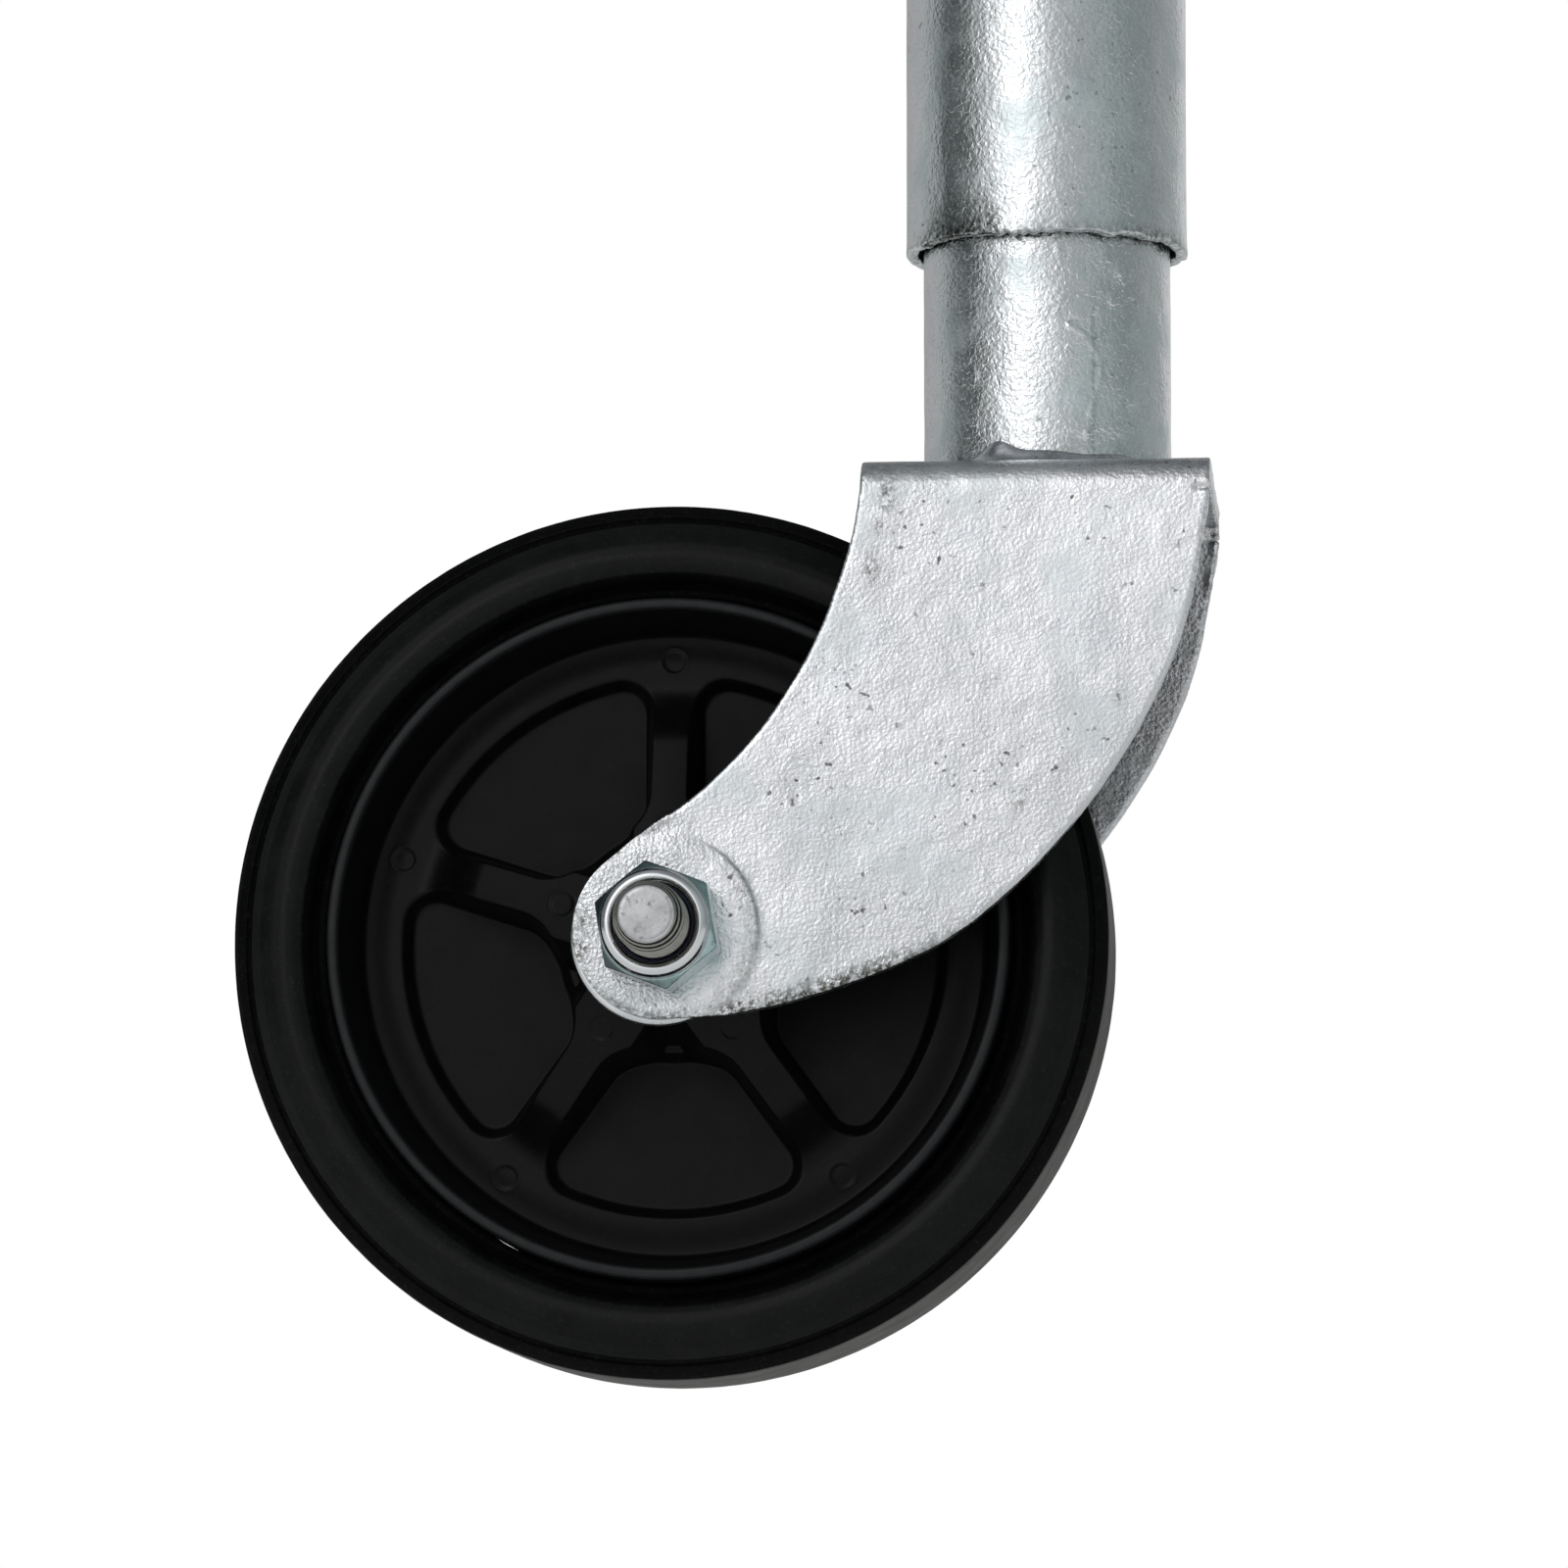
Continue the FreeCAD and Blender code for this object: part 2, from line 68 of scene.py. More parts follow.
# ---------------------------------------------------------------- mesh helpers
def new_obj(name, verts, faces, smooth=True):
    me = bpy.data.meshes.new(name)
    verts = np.asarray(verts, np.float64) * MM
    faces = np.asarray(faces, np.int32)
    n = faces.shape[1]
    me.vertices.add(len(verts))
    me.vertices.foreach_set("co", verts.astype(np.float32).ravel())
    me.loops.add(faces.size)
    me.loops.foreach_set("vertex_index", faces.ravel())
    me.polygons.add(len(faces))
    me.polygons.foreach_set("loop_start", np.arange(0, faces.size, n, dtype=np.int32))
    me.polygons.foreach_set("loop_total", np.full(len(faces), n, np.int32))
    me.update(calc_edges=True)
    me.validate()
    me.polygons.foreach_set("use_smooth", np.ones(len(me.polygons), bool) if smooth else np.zeros(len(me.polygons), bool))
    me.update()
    ob = bpy.data.objects.new(name, me)
    bpy.context.scene.collection.objects.link(ob)
    return ob


def grid_faces(nu, nv, wrap_u, wrap_v, flip=False):
    u = np.arange(nu if wrap_u else nu - 1)
    v = np.arange(nv if wrap_v else nv - 1)
    U, Vv = np.meshgrid(u, v, indexing="ij")
    U1, V1 = (U + 1) % nu, (Vv + 1) % nv
    q = np.stack([U * nv + Vv, U1 * nv + Vv, U1 * nv + V1, U * nv + V1], -1).reshape(-1, 4)
    return q[:, ::-1] if flip else q


def weld(ob, dist=2e-6):
    bm = bmesh.new()
    bm.from_mesh(ob.data)
    bmesh.ops.remove_doubles(bm, verts=bm.verts, dist=dist)
    bmesh.ops.dissolve_degenerate(bm, edges=bm.edges, dist=1e-7)
    bmesh.ops.recalc_face_normals(bm, faces=bm.faces)
    for f in bm.faces:
        f.smooth = True
    bm.to_mesh(ob.data)
    bm.free()
    ob.data.update()


def soften(points, radii, step=2.0, closed=True, arc_step=14.0, support=0.12):
    """A polyline with its corners rounded: points (r, h), one radius each; straight runs get extra points."""
    P = [np.array(p, float) for p in points]
    n = len(P)
    if not hasattr(radii, "__len__"):
        radii = [radii] * n
    segs = []
    for i in range(n):
        if not closed and i in (0, n - 1):
            segs.append([P[i]])
            continue
        a, b, c = P[i - 1], P[i], P[(i + 1) % n]
        u, v = a - b, c - b
        lu, lv = np.linalg.norm(u), np.linalg.norm(v)
        u, v = u / lu, v / lv
        cosang = float(np.clip(u @ v, -1, 1))
        ang = math.acos(cosang)
        r = radii[i]
        if r <= 1e-6 or ang > math.pi - 0.02:
            segs.append([b])
            continue
        t = r / math.tan(ang / 2)
        t = min(t, lu * 0.48, lv * 0.48)
        r = t * math.tan(ang / 2)
        p0, p1 = b + u * t, b + v * t
        bis = (u + v) / np.linalg.norm(u + v)
        ctr = b + bis * (r / math.sin(ang / 2))
        sweep = math.pi - ang
        k = max(2, int(math.ceil(math.degrees(sweep) / arc_step)))
        a0 = p0 - ctr
        a1 = p1 - ctr
        pts = []
        for j in range(k + 1):
            w = j / k
            s0 = math.sin((1 - w) * sweep) / math.sin(sweep)
            s1 = math.sin(w * sweep) / math.sin(sweep)
            pts.append(ctr + a0 * s0 + a1 * s1)
        segs.append(pts)
    out = []
    for i in range(n):
        out.extend(segs[i])
        if not closed and i == n - 1:
            break
        a, b = segs[i][-1], segs[(i + 1) % n][0]
        L = np.linalg.norm(b - a)
        if L < 1e-9:
            continue
        k = int(L // step)
        ws = []
        if L > 4 * support and len(segs[i]) > 1:
            ws.append(support / L)
        ws += [(j + 1) / (k + 1) for j in range(k) if support / L * 1.5 < (j + 1) / (k + 1) < 1 - support / L * 1.5]
        if L > 4 * support and len(segs[(i + 1) % n]) > 1:
            ws.append(1 - support / L)
        out.extend([a + (b - a) * w for w in ws])
    return np.array(out)


def lathe(name, prof, n=192, axis="z", centre=(0, 0, 0), closed=True, shape=None):
    """A solid of revolution. prof is (r, h); shape(R, H, PHI) may move the radius and height."""
    prof = np.asarray(prof, float)
    phi = np.arange(n) * 2 * math.pi / n
    R = np.repeat(prof[:, :1], n, 1)
    H = np.repeat(prof[:, 1:2], n, 1)
    F = np.repeat(phi[None, :], len(prof), 0)
    if shape is not None:
        R, H = shape(R, H, F)
    if axis == "z":
        P = np.stack([R * np.cos(F) + centre[0], R * np.sin(F) + centre[1], H + centre[2]], -1)
    else:
        P = np.stack([R * np.cos(F) + centre[0], H + centre[1], R * np.sin(F) + centre[2]], -1)
    ob = new_obj(name, P.reshape(-1, 3), grid_faces(len(prof), n, closed, True))
    weld(ob)
    return ob


def vnoise(p, cell, seed=0):
    """Smooth value noise in -1..1 at points p, with features about cell across."""
    q = np.asarray(p, float) / cell + 1000.0 + seed * 17.31
    i = np.floor(q).astype(np.int64)
    f = q - i
    f = f * f * f * (f * (f * 6 - 15) + 10)
    out = np.zeros(len(q))
    for dx in (0, 1):
        for dy in (0, 1):
            for dz in (0, 1):
                h = (i[:, 0] + dx) * 374761393 + (i[:, 1] + dy) * 668265263 + (i[:, 2] + dz) * 2147483647 + seed * 1274126177
                h = (h ^ (h >> 13)) * 1274126177
                h = (h ^ (h >> 16)) & 0xFFFFFF
                val = h / 8388607.5 - 1.0
                w = (f[:, 0] if dx else 1 - f[:, 0]) * (f[:, 1] if dy else 1 - f[:, 1]) * (f[:, 2] if dz else 1 - f[:, 2])
                out += val * w
    return out


def fnoise(p, cell, octaves=3, seed=0):
    out, amp, tot = 0, 1.0, 0
    for o in range(octaves):
        out = out + amp * vnoise(p, cell / 2 ** o, seed + o * 7)
        tot += amp
        amp *= 0.5
    return out / tot


def get_co(me):
    co = np.zeros(len(me.vertices) * 3, np.float32)
    me.vertices.foreach_get("co", co)
    return co.reshape(-1, 3).astype(float) / MM


def set_co(me, co):
    me.vertices.foreach_set("co", (co * MM).astype(np.float32).ravel())
    me.update()


def get_no(me):
    no = np.zeros(len(me.vertices) * 3, np.float32)
    me.vertex_normals.foreach_get("vector", no)
    return no.reshape(-1, 3).astype(float)


def add_attr(ob, name, values):
    at = ob.data.attributes.new(name, "FLOAT", "POINT")
    at.data.foreach_set("value", np.asarray(values, np.float32))


def smoothstep(a, b, x):
    t = np.clip((x - a) / (b - a), 0, 1)
    return t * t * (3 - 2 * t)


def smin(a, b, k):
    h = np.clip(0.5 + 0.5 * (b - a) / k, 0, 1)
    return b + (a - b) * h - k * h * (1 - h)


def smax(a, b, k):
    return -smin(-a, -b, k)


def evaluated(ob, name):
    dg = bpy.context.evaluated_depsgraph_get()
    me = bpy.data.meshes.new_from_object(ob.evaluated_get(dg), depsgraph=dg)
    me.name = name
    return me


def edge_list(me):
    e = np.zeros(len(me.edges) * 2, np.int32)
    me.edges.foreach_get("vertices", e)
    return e.reshape(-1, 2)


def curvature(co, no, edges, rounds=2):
    """Above 0 on outward edges, below 0 in hollows."""
    n = len(co)
    deg = np.bincount(edges.ravel(), minlength=n).astype(float)[:, None]
    deg[deg == 0] = 1

    def avg(x):
        s = np.zeros_like(x)
        np.add.at(s, edges[:, 0], x[edges[:, 1]])
        np.add.at(s, edges[:, 1], x[edges[:, 0]])
        return s / deg
    lap = avg(co) - co
    c = -(lap * no).sum(1)[:, None]
    for _ in range(rounds):
        c = 0.5 * c + 0.5 * avg(c)
    return c[:, 0]


def place(ob, body, slot, mat, *nodes):
    ob.data.materials.clear()
    ob.data.materials.append(mat)
    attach(ob, body)
    if nodes:
        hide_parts(*nodes)
    return ob


# ---------------------------------------------------------------- material helpers
class Mat:
    def __init__(self, name, metallic=0.0, ior=1.5, spec=0.5):
        self.mat = bpy.data.materials.new(name)
        self.mat.use_nodes = True
        self.nt = self.mat.node_tree
        self.nt.nodes.clear()
        self.out = self.nt.nodes.new("ShaderNodeOutputMaterial")
        self.sh = self.nt.nodes.new("ShaderNodeBsdfPrincipled")
        self.sh.inputs["Metallic"].default_value = metallic
        self.sh.inputs["IOR"].default_value = ior
        self.sh.inputs["Specular IOR Level"].default_value = spec
        self.nt.links.new(self.sh.outputs[0], self.out.inputs[0])
        self.tc = self.nt.nodes.new("ShaderNodeTexCoord")

    def link(self, a, b):
        self.nt.links.new(a, b)

    def coords(self, scale=(1, 1, 1), rot=(0, 0, 0), loc=(0, 0, 0)):
        m = self.nt.nodes.new("ShaderNodeMapping")
        m.inputs["Scale"].default_value = scale
        m.inputs["Rotation"].default_value = rot
        m.inputs["Location"].default_value = loc
        self.link(self.tc.outputs["Object"], m.inputs["Vector"])
        return m.outputs[0]

    def noise(self, mm, detail=2.0, rough=0.5, vec=None, dist=0.0, lac=2.0):
        t = self.nt.nodes.new("ShaderNodeTexNoise")
        t.inputs["Scale"].default_value = 1000.0 / mm
        t.inputs["Detail"].default_value = detail
        t.inputs["Roughness"].default_value = rough
        t.inputs["Lacunarity"].default_value = lac
        t.inputs["Distortion"].default_value = dist
        self.link(vec if vec is not None else self.tc.outputs["Object"], t.inputs["Vector"])
        return t.outputs[0]

    def voronoi(self, mm, feature="F1", rand=1.0, vec=None, out=0):
        t = self.nt.nodes.new("ShaderNodeTexVoronoi")
        t.feature = feature
        t.inputs["Scale"].default_value = 1000.0 / mm
        t.inputs["Randomness"].default_value = rand
        self.link(vec if vec is not None else self.tc.outputs["Object"], t.inputs["Vector"])
        return t.outputs[out]

    def ramp(self, fac, stops, interp="LINEAR"):
        r = self.nt.nodes.new("ShaderNodeValToRGB")
        cr = r.color_ramp
        cr.interpolation = interp
        while len(cr.elements) < len(stops):
            cr.elements.new(0.5)
        for e, (p, c) in zip(cr.elements, stops):
            e.position = p
            if not hasattr(c, "__len__"):
                c = (c, c, c)
            e.color = (c[0], c[1], c[2], 1)
        self.link(fac, r.inputs[0])
        return r.outputs[0]

    def rng(self, fac, a, b, c, d, clamp=True):
        m = self.nt.nodes.new("ShaderNodeMapRange")
        m.clamp = clamp
        for k, v in zip(("From Min", "From Max", "To Min", "To Max"), (a, b, c, d)):
            m.inputs[k].default_value = v
        self.link(fac, m.inputs["Value"])
        return m.outputs[0]

    def math(self, op, a, b=None, clamp=False):
        m = self.nt.nodes.new("ShaderNodeMath")
        m.operation = op
        m.use_clamp = clamp
        for i, v in enumerate((a, b)):
            if v is None:
                continue
            if isinstance(v, (int, float)):
                m.inputs[i].default_value = v
            else:
                self.link(v, m.inputs[i])
        return m.outputs[0]

    def mix(self, fac, a, b, mode="MIX"):
        m = self.nt.nodes.new("ShaderNodeMix")
        m.data_type = "RGBA"
        m.blend_type = mode
        for sock, v in ((m.inputs[0], fac), (m.inputs[6], a), (m.inputs[7], b)):
            if isinstance(v, (int, float)):
                sock.default_value = v
            elif isinstance(v, tuple):
                sock.default_value = (v[0], v[1], v[2], 1)
            else:
                self.link(v, sock)
        return m.outputs[2]

    def attr(self, name):
        a = self.nt.nodes.new("ShaderNodeAttribute")
        a.attribute_name = name
        return a.outputs["Fac"]

    def bump(self, height, mm, normal=None, strength=1.0):
        b = self.nt.nodes.new("ShaderNodeBump")
        b.inputs["Strength"].default_value = strength
        b.inputs["Distance"].default_value = mm * MM
        self.link(height, b.inputs["Height"])
        if normal is not None:
            self.link(normal, b.inputs["Normal"])
        return b.outputs[0]

    def set(self, socket, value):
        self.link(value, self.sh.inputs[socket])

    def done(self):
        return self.mat


def galvanised(name, lo, hi, grain_mm=1.3, peel=0.12, fine=0.02, rough=(0.20, 0.32), speck=0.5, edge=False, streak=(1, 1, 1), bloom_amt=0.6, worm=0.6):
    """Hot-dip zinc: wormy orange peel over a pale grey, a little green bloom, dark specks; with the edge map, outward
    edges lighter (rubbed zinc and painted highlight), painted shade in hollows, and zones of painted shade, dullness
    and grime.
    """
    m = Mat(name, metallic=1.0)
    big = m.noise(21, 3, 0.5)
    mid = m.noise(4.2, 3, 0.6)
    fine_n = m.noise(0.50, 2, 0.6)
    col = m.ramp(big, [(0.30, lo), (0.70, hi)])
    col = m.mix(1.0, col, m.ramp(mid, [(0.28, (0.93, 0.94, 0.945)), (0.55, (1.0, 1.0, 1.0))]), "MULTIPLY")
    col = m.mix(0.8, col, m.ramp(fine_n, [(0.25, (0.86, 0.865, 0.87)), (0.6, (1.0, 1.0, 1.0))]), "MULTIPLY")
    # matt greenish bloom in patches
    bloom = m.ramp(m.noise(13, 4, 0.55, vec=m.coords(loc=(0.3, 0.1, 0.2))), [(0.50, 0.0), (0.66, 1.0)])
    col = m.mix(m.math("MULTIPLY", bloom, bloom_amt), col, m.mix(1.0, col, (0.86, 0.93, 0.93), "MULTIPLY"))
    # dark specks, in loose groups
    sp = m.noise(1.3, 1, 0.5, vec=m.coords(loc=(0.7, 0.5, 0.1)))
    sp2 = m.noise(12, 2, 0.5, vec=m.coords(loc=(0.1, 0.4, 0.9)))
    gate = m.math("MULTIPLY", m.rng(sp, 0.66, 0.74, 0, 1), m.rng(sp2, 0.50, 0.60, 0, 1))
    col = m.mix(m.math("MULTIPLY", gate, speck), col, (0.10, 0.095, 0.085))
    # drawn-out scuffs
    scv = m.coords(scale=(0.16 * streak[0], 0.16 * streak[1], 0.16 * streak[2]))
    sc = m.noise(0.10, 2, 0.5, vec=scv, dist=0.2)
    scg = m.rng(m.noise(19, 2, 0.5, vec=m.coords(loc=(0.2, 0.8, 0.3))), 0.5, 0.66, 0, 1)
    scr = m.math("MULTIPLY", m.rng(sc, 0.58, 0.68, 0, 1), scg)
    col = m.mix(m.math("MULTIPLY", scr, 0.22), col, (0.45, 0.47, 0.48))
    if edge:
        e = m.attr("edge")
        # outward edges lighter: rubbed zinc and a painted highlight
        col = m.mix(m.rng(e, 0.25, 0.9, 0, 0.7), col, (0.86, 0.87, 0.88))
        # painted shade: darker in hollows and creases
        low = m.rng(m.math("MULTIPLY", e, -1.0), 0.15, 0.9, 0, 0.35)
        col = m.mix(low, col, (0.22, 0.23, 0.24))
        # darker zones: mostly painted shade, with some real dullness
        col = m.mix(m.math("MULTIPLY", m.attr("dull_and_shade"), m.rng(mid, 0.25, 0.75, 0.75, 1.0)), col, m.mix(1.0, col, (0.50, 0.52, 0.52), "MULTIPLY"))
        # near-black zones: real grime and spots, and painted shade in recesses
        grime_and_shade = m.math("MULTIPLY", m.attr("grime_and_shade"), m.rng(m.noise(0.9, 3, 0.65), 0.42, 0.58, 0, 1))
        col = m.mix(grime_and_shade, col, (0.085, 0.085, 0.07))
    m.set("Base Color", col)
    r = m.rng(mid, 0.3, 0.7, rough[0], rough[1])
    r = m.math("ADD", r, m.rng(fine_n, 0.3, 0.7, -0.03, 0.05))
    r = m.math("ADD", r, m.math("MULTIPLY", bloom, 0.16 * bloom_amt / 0.6), clamp=True)
    m.set("Roughness", r)
    # pebbled peel: rounded dimples, a finer grain that glints, slow waves
    peel_n = m.noise(grain_mm, 0.8, 0.4, dist=worm)
    grain_n = m.noise(grain_mm * 0.5, 1.0, 0.5, vec=m.coords(loc=(0.05, 0.02, 0.08)))
    calm = m.math("SUBTRACT", 1.0, m.math("MULTIPLY", bloom, 0.35))
    if edge:
        calm = m.math("MULTIPLY", calm, m.math("ADD", 1.0, m.math("MULTIPLY", m.attr("grit"), 0.9)))
    wave = m.noise(grain_mm * 9.0, 2, 0.5)
    nb = m.bump(wave, peel * 2.2)
    nb = m.bump(m.math("MULTIPLY", peel_n, calm), peel, nb)
    nb = m.bump(m.math("MULTIPLY", grain_n, calm), fine, nb)
    nb = m.bump(fine_n, 0.006, nb)
    m.set("Normal", nb)
    return m.done()


def zinc(name, lo, hi, rough=(0.2, 0.34), grain=0.35, bump=0.006, dirt=0.4, brushed=None, zones=()):
    """Bright zinc plating on turned or forged steel."""
    m = Mat(name, metallic=1.0)
    a = m.noise(5.0, 4, 0.6)
    b = m.noise(grain, 2, 0.6)
    col = m.ramp(a, [(0.3, lo), (0.7, hi)])
    col = m.mix(0.5, col, m.ramp(b, [(0.3, (0.82, 0.82, 0.83)), (0.65, (1.0, 1.0, 1.0))]), "MULTIPLY")
    d = m.math("MULTIPLY", m.rng(m.noise(1.6, 3, 0.65, vec=m.coords(loc=(4, 2, 6))), 0.56, 0.72, 0, 1), dirt)
    col = m.mix(d, col, (0.16, 0.16, 0.155))
    for attr, zc, amount in zones:
        col = m.mix(m.math("MULTIPLY", m.attr(attr), amount), col, zc)
    m.set("Base Color", col)
    r = m.math("ADD", m.rng(a, 0.3, 0.7, rough[0], rough[1]), m.math("MULTIPLY", d, 0.35))
    m.set("Roughness", r)
    vec = m.coords(scale=brushed) if brushed else None
    nb = m.bump(m.noise(grain, 2, 0.5, vec=vec), bump)
    nb = m.bump(m.noise(3.0, 2, 0.5), bump * 4, nb)
    m.set("Normal", nb)
    return m.done()


def black(name, lo, hi, rough=(0.42, 0.58), grain=0.35, bump=0.01, dust=0.35, dust_col=(0.16, 0.16, 0.165), spec=0.5, swirl=6.0, zones=(), sheen=None):
    """Moulded plastic or rubber: fine grain, uneven sheen, faint dust and scuffs. zones: (attribute, colour, amount, roughness change)."""
    m = Mat(name, metallic=0.0, spec=spec)
    a = m.noise(swirl, 4, 0.6)
    b = m.noise(grain, 2, 0.6)
    c = m.noise(1.2, 3, 0.6, vec=m.coords(loc=(0.5, 0.3, 0.2)))
    col = m.ramp(a, [(0.3, lo), (0.7, hi)])
    r = m.rng(a, 0.3, 0.7, rough[0], rough[1])
    for attr, zc, amount, dr in zones:
        z = m.attr(attr)
        zn = m.math("MULTIPLY", z, m.rng(m.noise(2.2, 4, 0.6, vec=m.coords(loc=(0.1, 0.2, 0.7))), 0.3, 0.7, amount * 0.7, amount))
        col = m.mix(zn, col, zc)
        r = m.math("ADD", r, m.math("MULTIPLY", z, dr))
    du = m.math("MULTIPLY", m.rng(c, 0.56, 0.76, 0, 1), dust)
    col = m.mix(du, col, dust_col)
    dots = m.rng(m.noise(0.45, 1, 0.5, vec=m.coords(loc=(0.1, 0.1, 0.4))), 0.66, 0.76, 0, 1)
    col = m.mix(m.math("MULTIPLY", dots, dust * 1.2), col, tuple(min(1, v * 1.7) for v in dust_col))
    m.set("Base Color", col)
    r = m.math("ADD", r, m.math("MULTIPLY", du, 0.25))
    r = m.math("ADD", r, m.rng(b, 0.3, 0.7, -0.03, 0.04), clamp=True)
    m.set("Roughness", r)
    if sheen:
        m.set("Specular IOR Level", m.math("MULTIPLY", m.attr(sheen), spec))
    nb = m.bump(b, bump)
    nb = m.bump(m.noise(2.4, 2, 0.5), bump * 1.6, nb)
    m.set("Normal", nb)
    return m.done()


# ---------------------------------------------------------------- materials
M = {}
M["galv_fork"] = galvanised("galv_fork", (0.745, 0.750, 0.765), (0.84, 0.845, 0.86), 0.62, 0.085, 0.030, (0.20, 0.32), 0.9, True, (1, 1, 0.25), 0.45, 0.3)
M["galv_outer"] = galvanised("galv_outer", (0.66, 0.68, 0.69), (0.77, 0.79, 0.795), 0.76, 0.125, 0.034, (0.14, 0.23), 0.6, True, (1, 1, 0.2), 0.7, 0.5)
M["galv_inner"] = galvanised("galv_inner", (0.68, 0.70, 0.71), (0.79, 0.81, 0.815), 0.72, 0.138, 0.038, (0.13, 0.22), 0.5, True, (1, 1, 0.2), 0.75, 0.6)
M["galv_weld"] = galvanised("galv_weld", (0.68, 0.70, 0.72), (0.80, 0.82, 0.84), 1.6, 0.07, 0.016, (0.15, 0.25), 0.9, True, (1, 1, 1), 0.3, 0.2)
# on the bolt, the groove zone is painted shade in the thread
M["zinc_bolt"] = zinc("zinc_bolt", (0.36, 0.36, 0.365), (0.60, 0.60, 0.61), (0.30, 0.44), 0.5, 0.014, 0.7, None,
                      [("thread", (0.46, 0.46, 0.41), 0.85), ("valley_shade", (0.010, 0.010, 0.009), 0.98)])
M["zinc_nut"] = zinc("zinc_nut", (0.28, 0.43, 0.43), (0.54, 0.69, 0.69), (0.12, 0.22), 0.45, 0.004, 0.5, None, [("collar", (0.74, 0.75, 0.76), 0.95), ("shadow", (0.045, 0.055, 0.060), 0.85)])
M["zinc_fastener"] = zinc("zinc_fastener", (0.66, 0.68, 0.69), (0.80, 0.81, 0.82), (0.22, 0.34), 0.4, 0.006, 0.45)
M["zinc_cap"] = zinc("zinc_cap", (0.48, 0.50, 0.51), (0.66, 0.68, 0.69), (0.26, 0.4), 0.5, 0.01, 0.4)
M["zinc_crank"] = zinc("zinc_crank", (0.50, 0.52, 0.53), (0.68, 0.70, 0.71), (0.24, 0.38), 0.6, 0.012, 0.45, (1, 1, 0.2))
M["pin_steel"] = zinc("pin_steel", (0.16, 0.16, 0.165), (0.30, 0.30, 0.31), (0.35, 0.5), 0.4, 0.01, 0.3)
M["plain_steel"] = zinc("plain_steel", (0.38, 0.37, 0.36), (0.55, 0.54, 0.53), (0.25, 0.4), 0.5, 0.01, 0.5)
M["screw_steel"] = zinc("screw_steel", (0.26, 0.25, 0.23), (0.46, 0.44, 0.41), (0.2, 0.4), 0.8, 0.012, 0.8)
M["nut_steel"] = zinc("nut_steel", (0.30, 0.30, 0.30), (0.48, 0.48, 0.48), (0.25, 0.4), 0.6, 0.012, 0.7)
M["bearing_steel"] = zinc("bearing_steel", (0.62, 0.62, 0.63), (0.76, 0.76, 0.77), (0.1, 0.18), 0.4, 0.002, 0.15)
M["bearing_balls"] = zinc("bearing_balls", (0.74, 0.74, 0.76), (0.84, 0.84, 0.86), (0.05, 0.1), 0.4, 0.001, 0.05)
M["cage_brass"] = zinc("cage_brass", (0.62, 0.46, 0.20), (0.80, 0.64, 0.33), (0.2, 0.32), 0.5, 0.006, 0.3)
M["nylon_dark"] = black("nylon_dark", (0.012, 0.013, 0.030), (0.022, 0.024, 0.050), (0.28, 0.4), 0.5, 0.008, 0.10, (0.10, 0.10, 0.14), 0.35)
M["bush_plastic"] = black("bush_plastic", (0.60, 0.59, 0.54), (0.74, 0.73, 0.68), (0.35, 0.5), 0.5, 0.008, 0.2, (0.4, 0.39, 0.36), 0.5)
# on the wheel, the lip zone is a painted highlight; the panel zone is dust
M["wheel_plastic"] = black("wheel_plastic", (0.0018, 0.0018, 0.0021), (0.0034, 0.0034, 0.0039), (0.33, 0.43), 0.28, 0.007, 0.10, (0.030, 0.030, 0.033), 0.13, 6.0,
                           [("panel", (0.0026, 0.0026, 0.0030), 0.9, 0.06), ("lip", (0.024, 0.025, 0.026), 0.9, -0.04)])
# on the tyre, the band zone is painted shade, the tread zone a painted reflection of the floor, and the specular map
# painted shade and highlight
M["tyre_black"] = black("tyre_black", (0.0022, 0.0024, 0.0024), (0.0054, 0.0056, 0.0058), (0.32, 0.44), 0.42, 0.018, 0.16, (0.032, 0.033, 0.033), 0.105, 7.0,
                        [("band", (0.0010, 0.0010, 0.0012), 0.95, 0.0), ("tread", (0.060, 0.060, 0.050), 0.9, 0.12)], "sheen")
M["grip_plastic"] = black("grip_plastic", (0.007, 0.007, 0.0075), (0.012, 0.012, 0.0125), (0.38, 0.5), 0.4, 0.012, 0.12, (0.05, 0.05, 0.05), 0.25)

# every carried-over node starts with its slot's material
for sub in frame["record"]["subparts"]:
    ob = NODES[sub["node"]]
    ob.data.materials.clear()
    ob.data.materials.append(M[sub["material_slot"]])
    for poly in ob.data.polygons:
        poly.material_index = 0


# ---------------------------------------------------------------- tubes
def tube_shape(seed, wob, rim_z=None, rim_amp=0.0, bulge=0.0):
    def f(R, H, F):
        P = np.stack([np.cos(F) * 24, np.sin(F) * 24, H], -1).reshape(-1, 3)
        outer = R > (R.max() + R.min()) / 2
        w = fnoise(P, 26, 2, seed).reshape(R.shape) * wob
        w2 = fnoise(P, 5, 2, seed + 5).reshape(R.shape) * wob * 0.5
        R2 = np.where(outer, R + w + w2, R + w)
        if rim_z is not None:
            ring = np.stack([np.cos(F) * 24, np.sin(F) * 24, F * 0], -1).reshape(-1, 3)
            near = 1 - smoothstep(0, 5.0, np.abs(H - rim_z))
            jag = (fnoise(ring, 7, 3, seed + 9) * 0.65 + vnoise(ring, 1.6, seed + 3) * 0.35).reshape(R.shape)
            H = H + near * rim_amp * jag * np.sign(H.mean() - rim_z + 1e-9)
            R2 = R2 + np.where(outer, near ** 3 * bulge * (0.6 + 0.4 * jag), 0)
        return R2, H
    return f


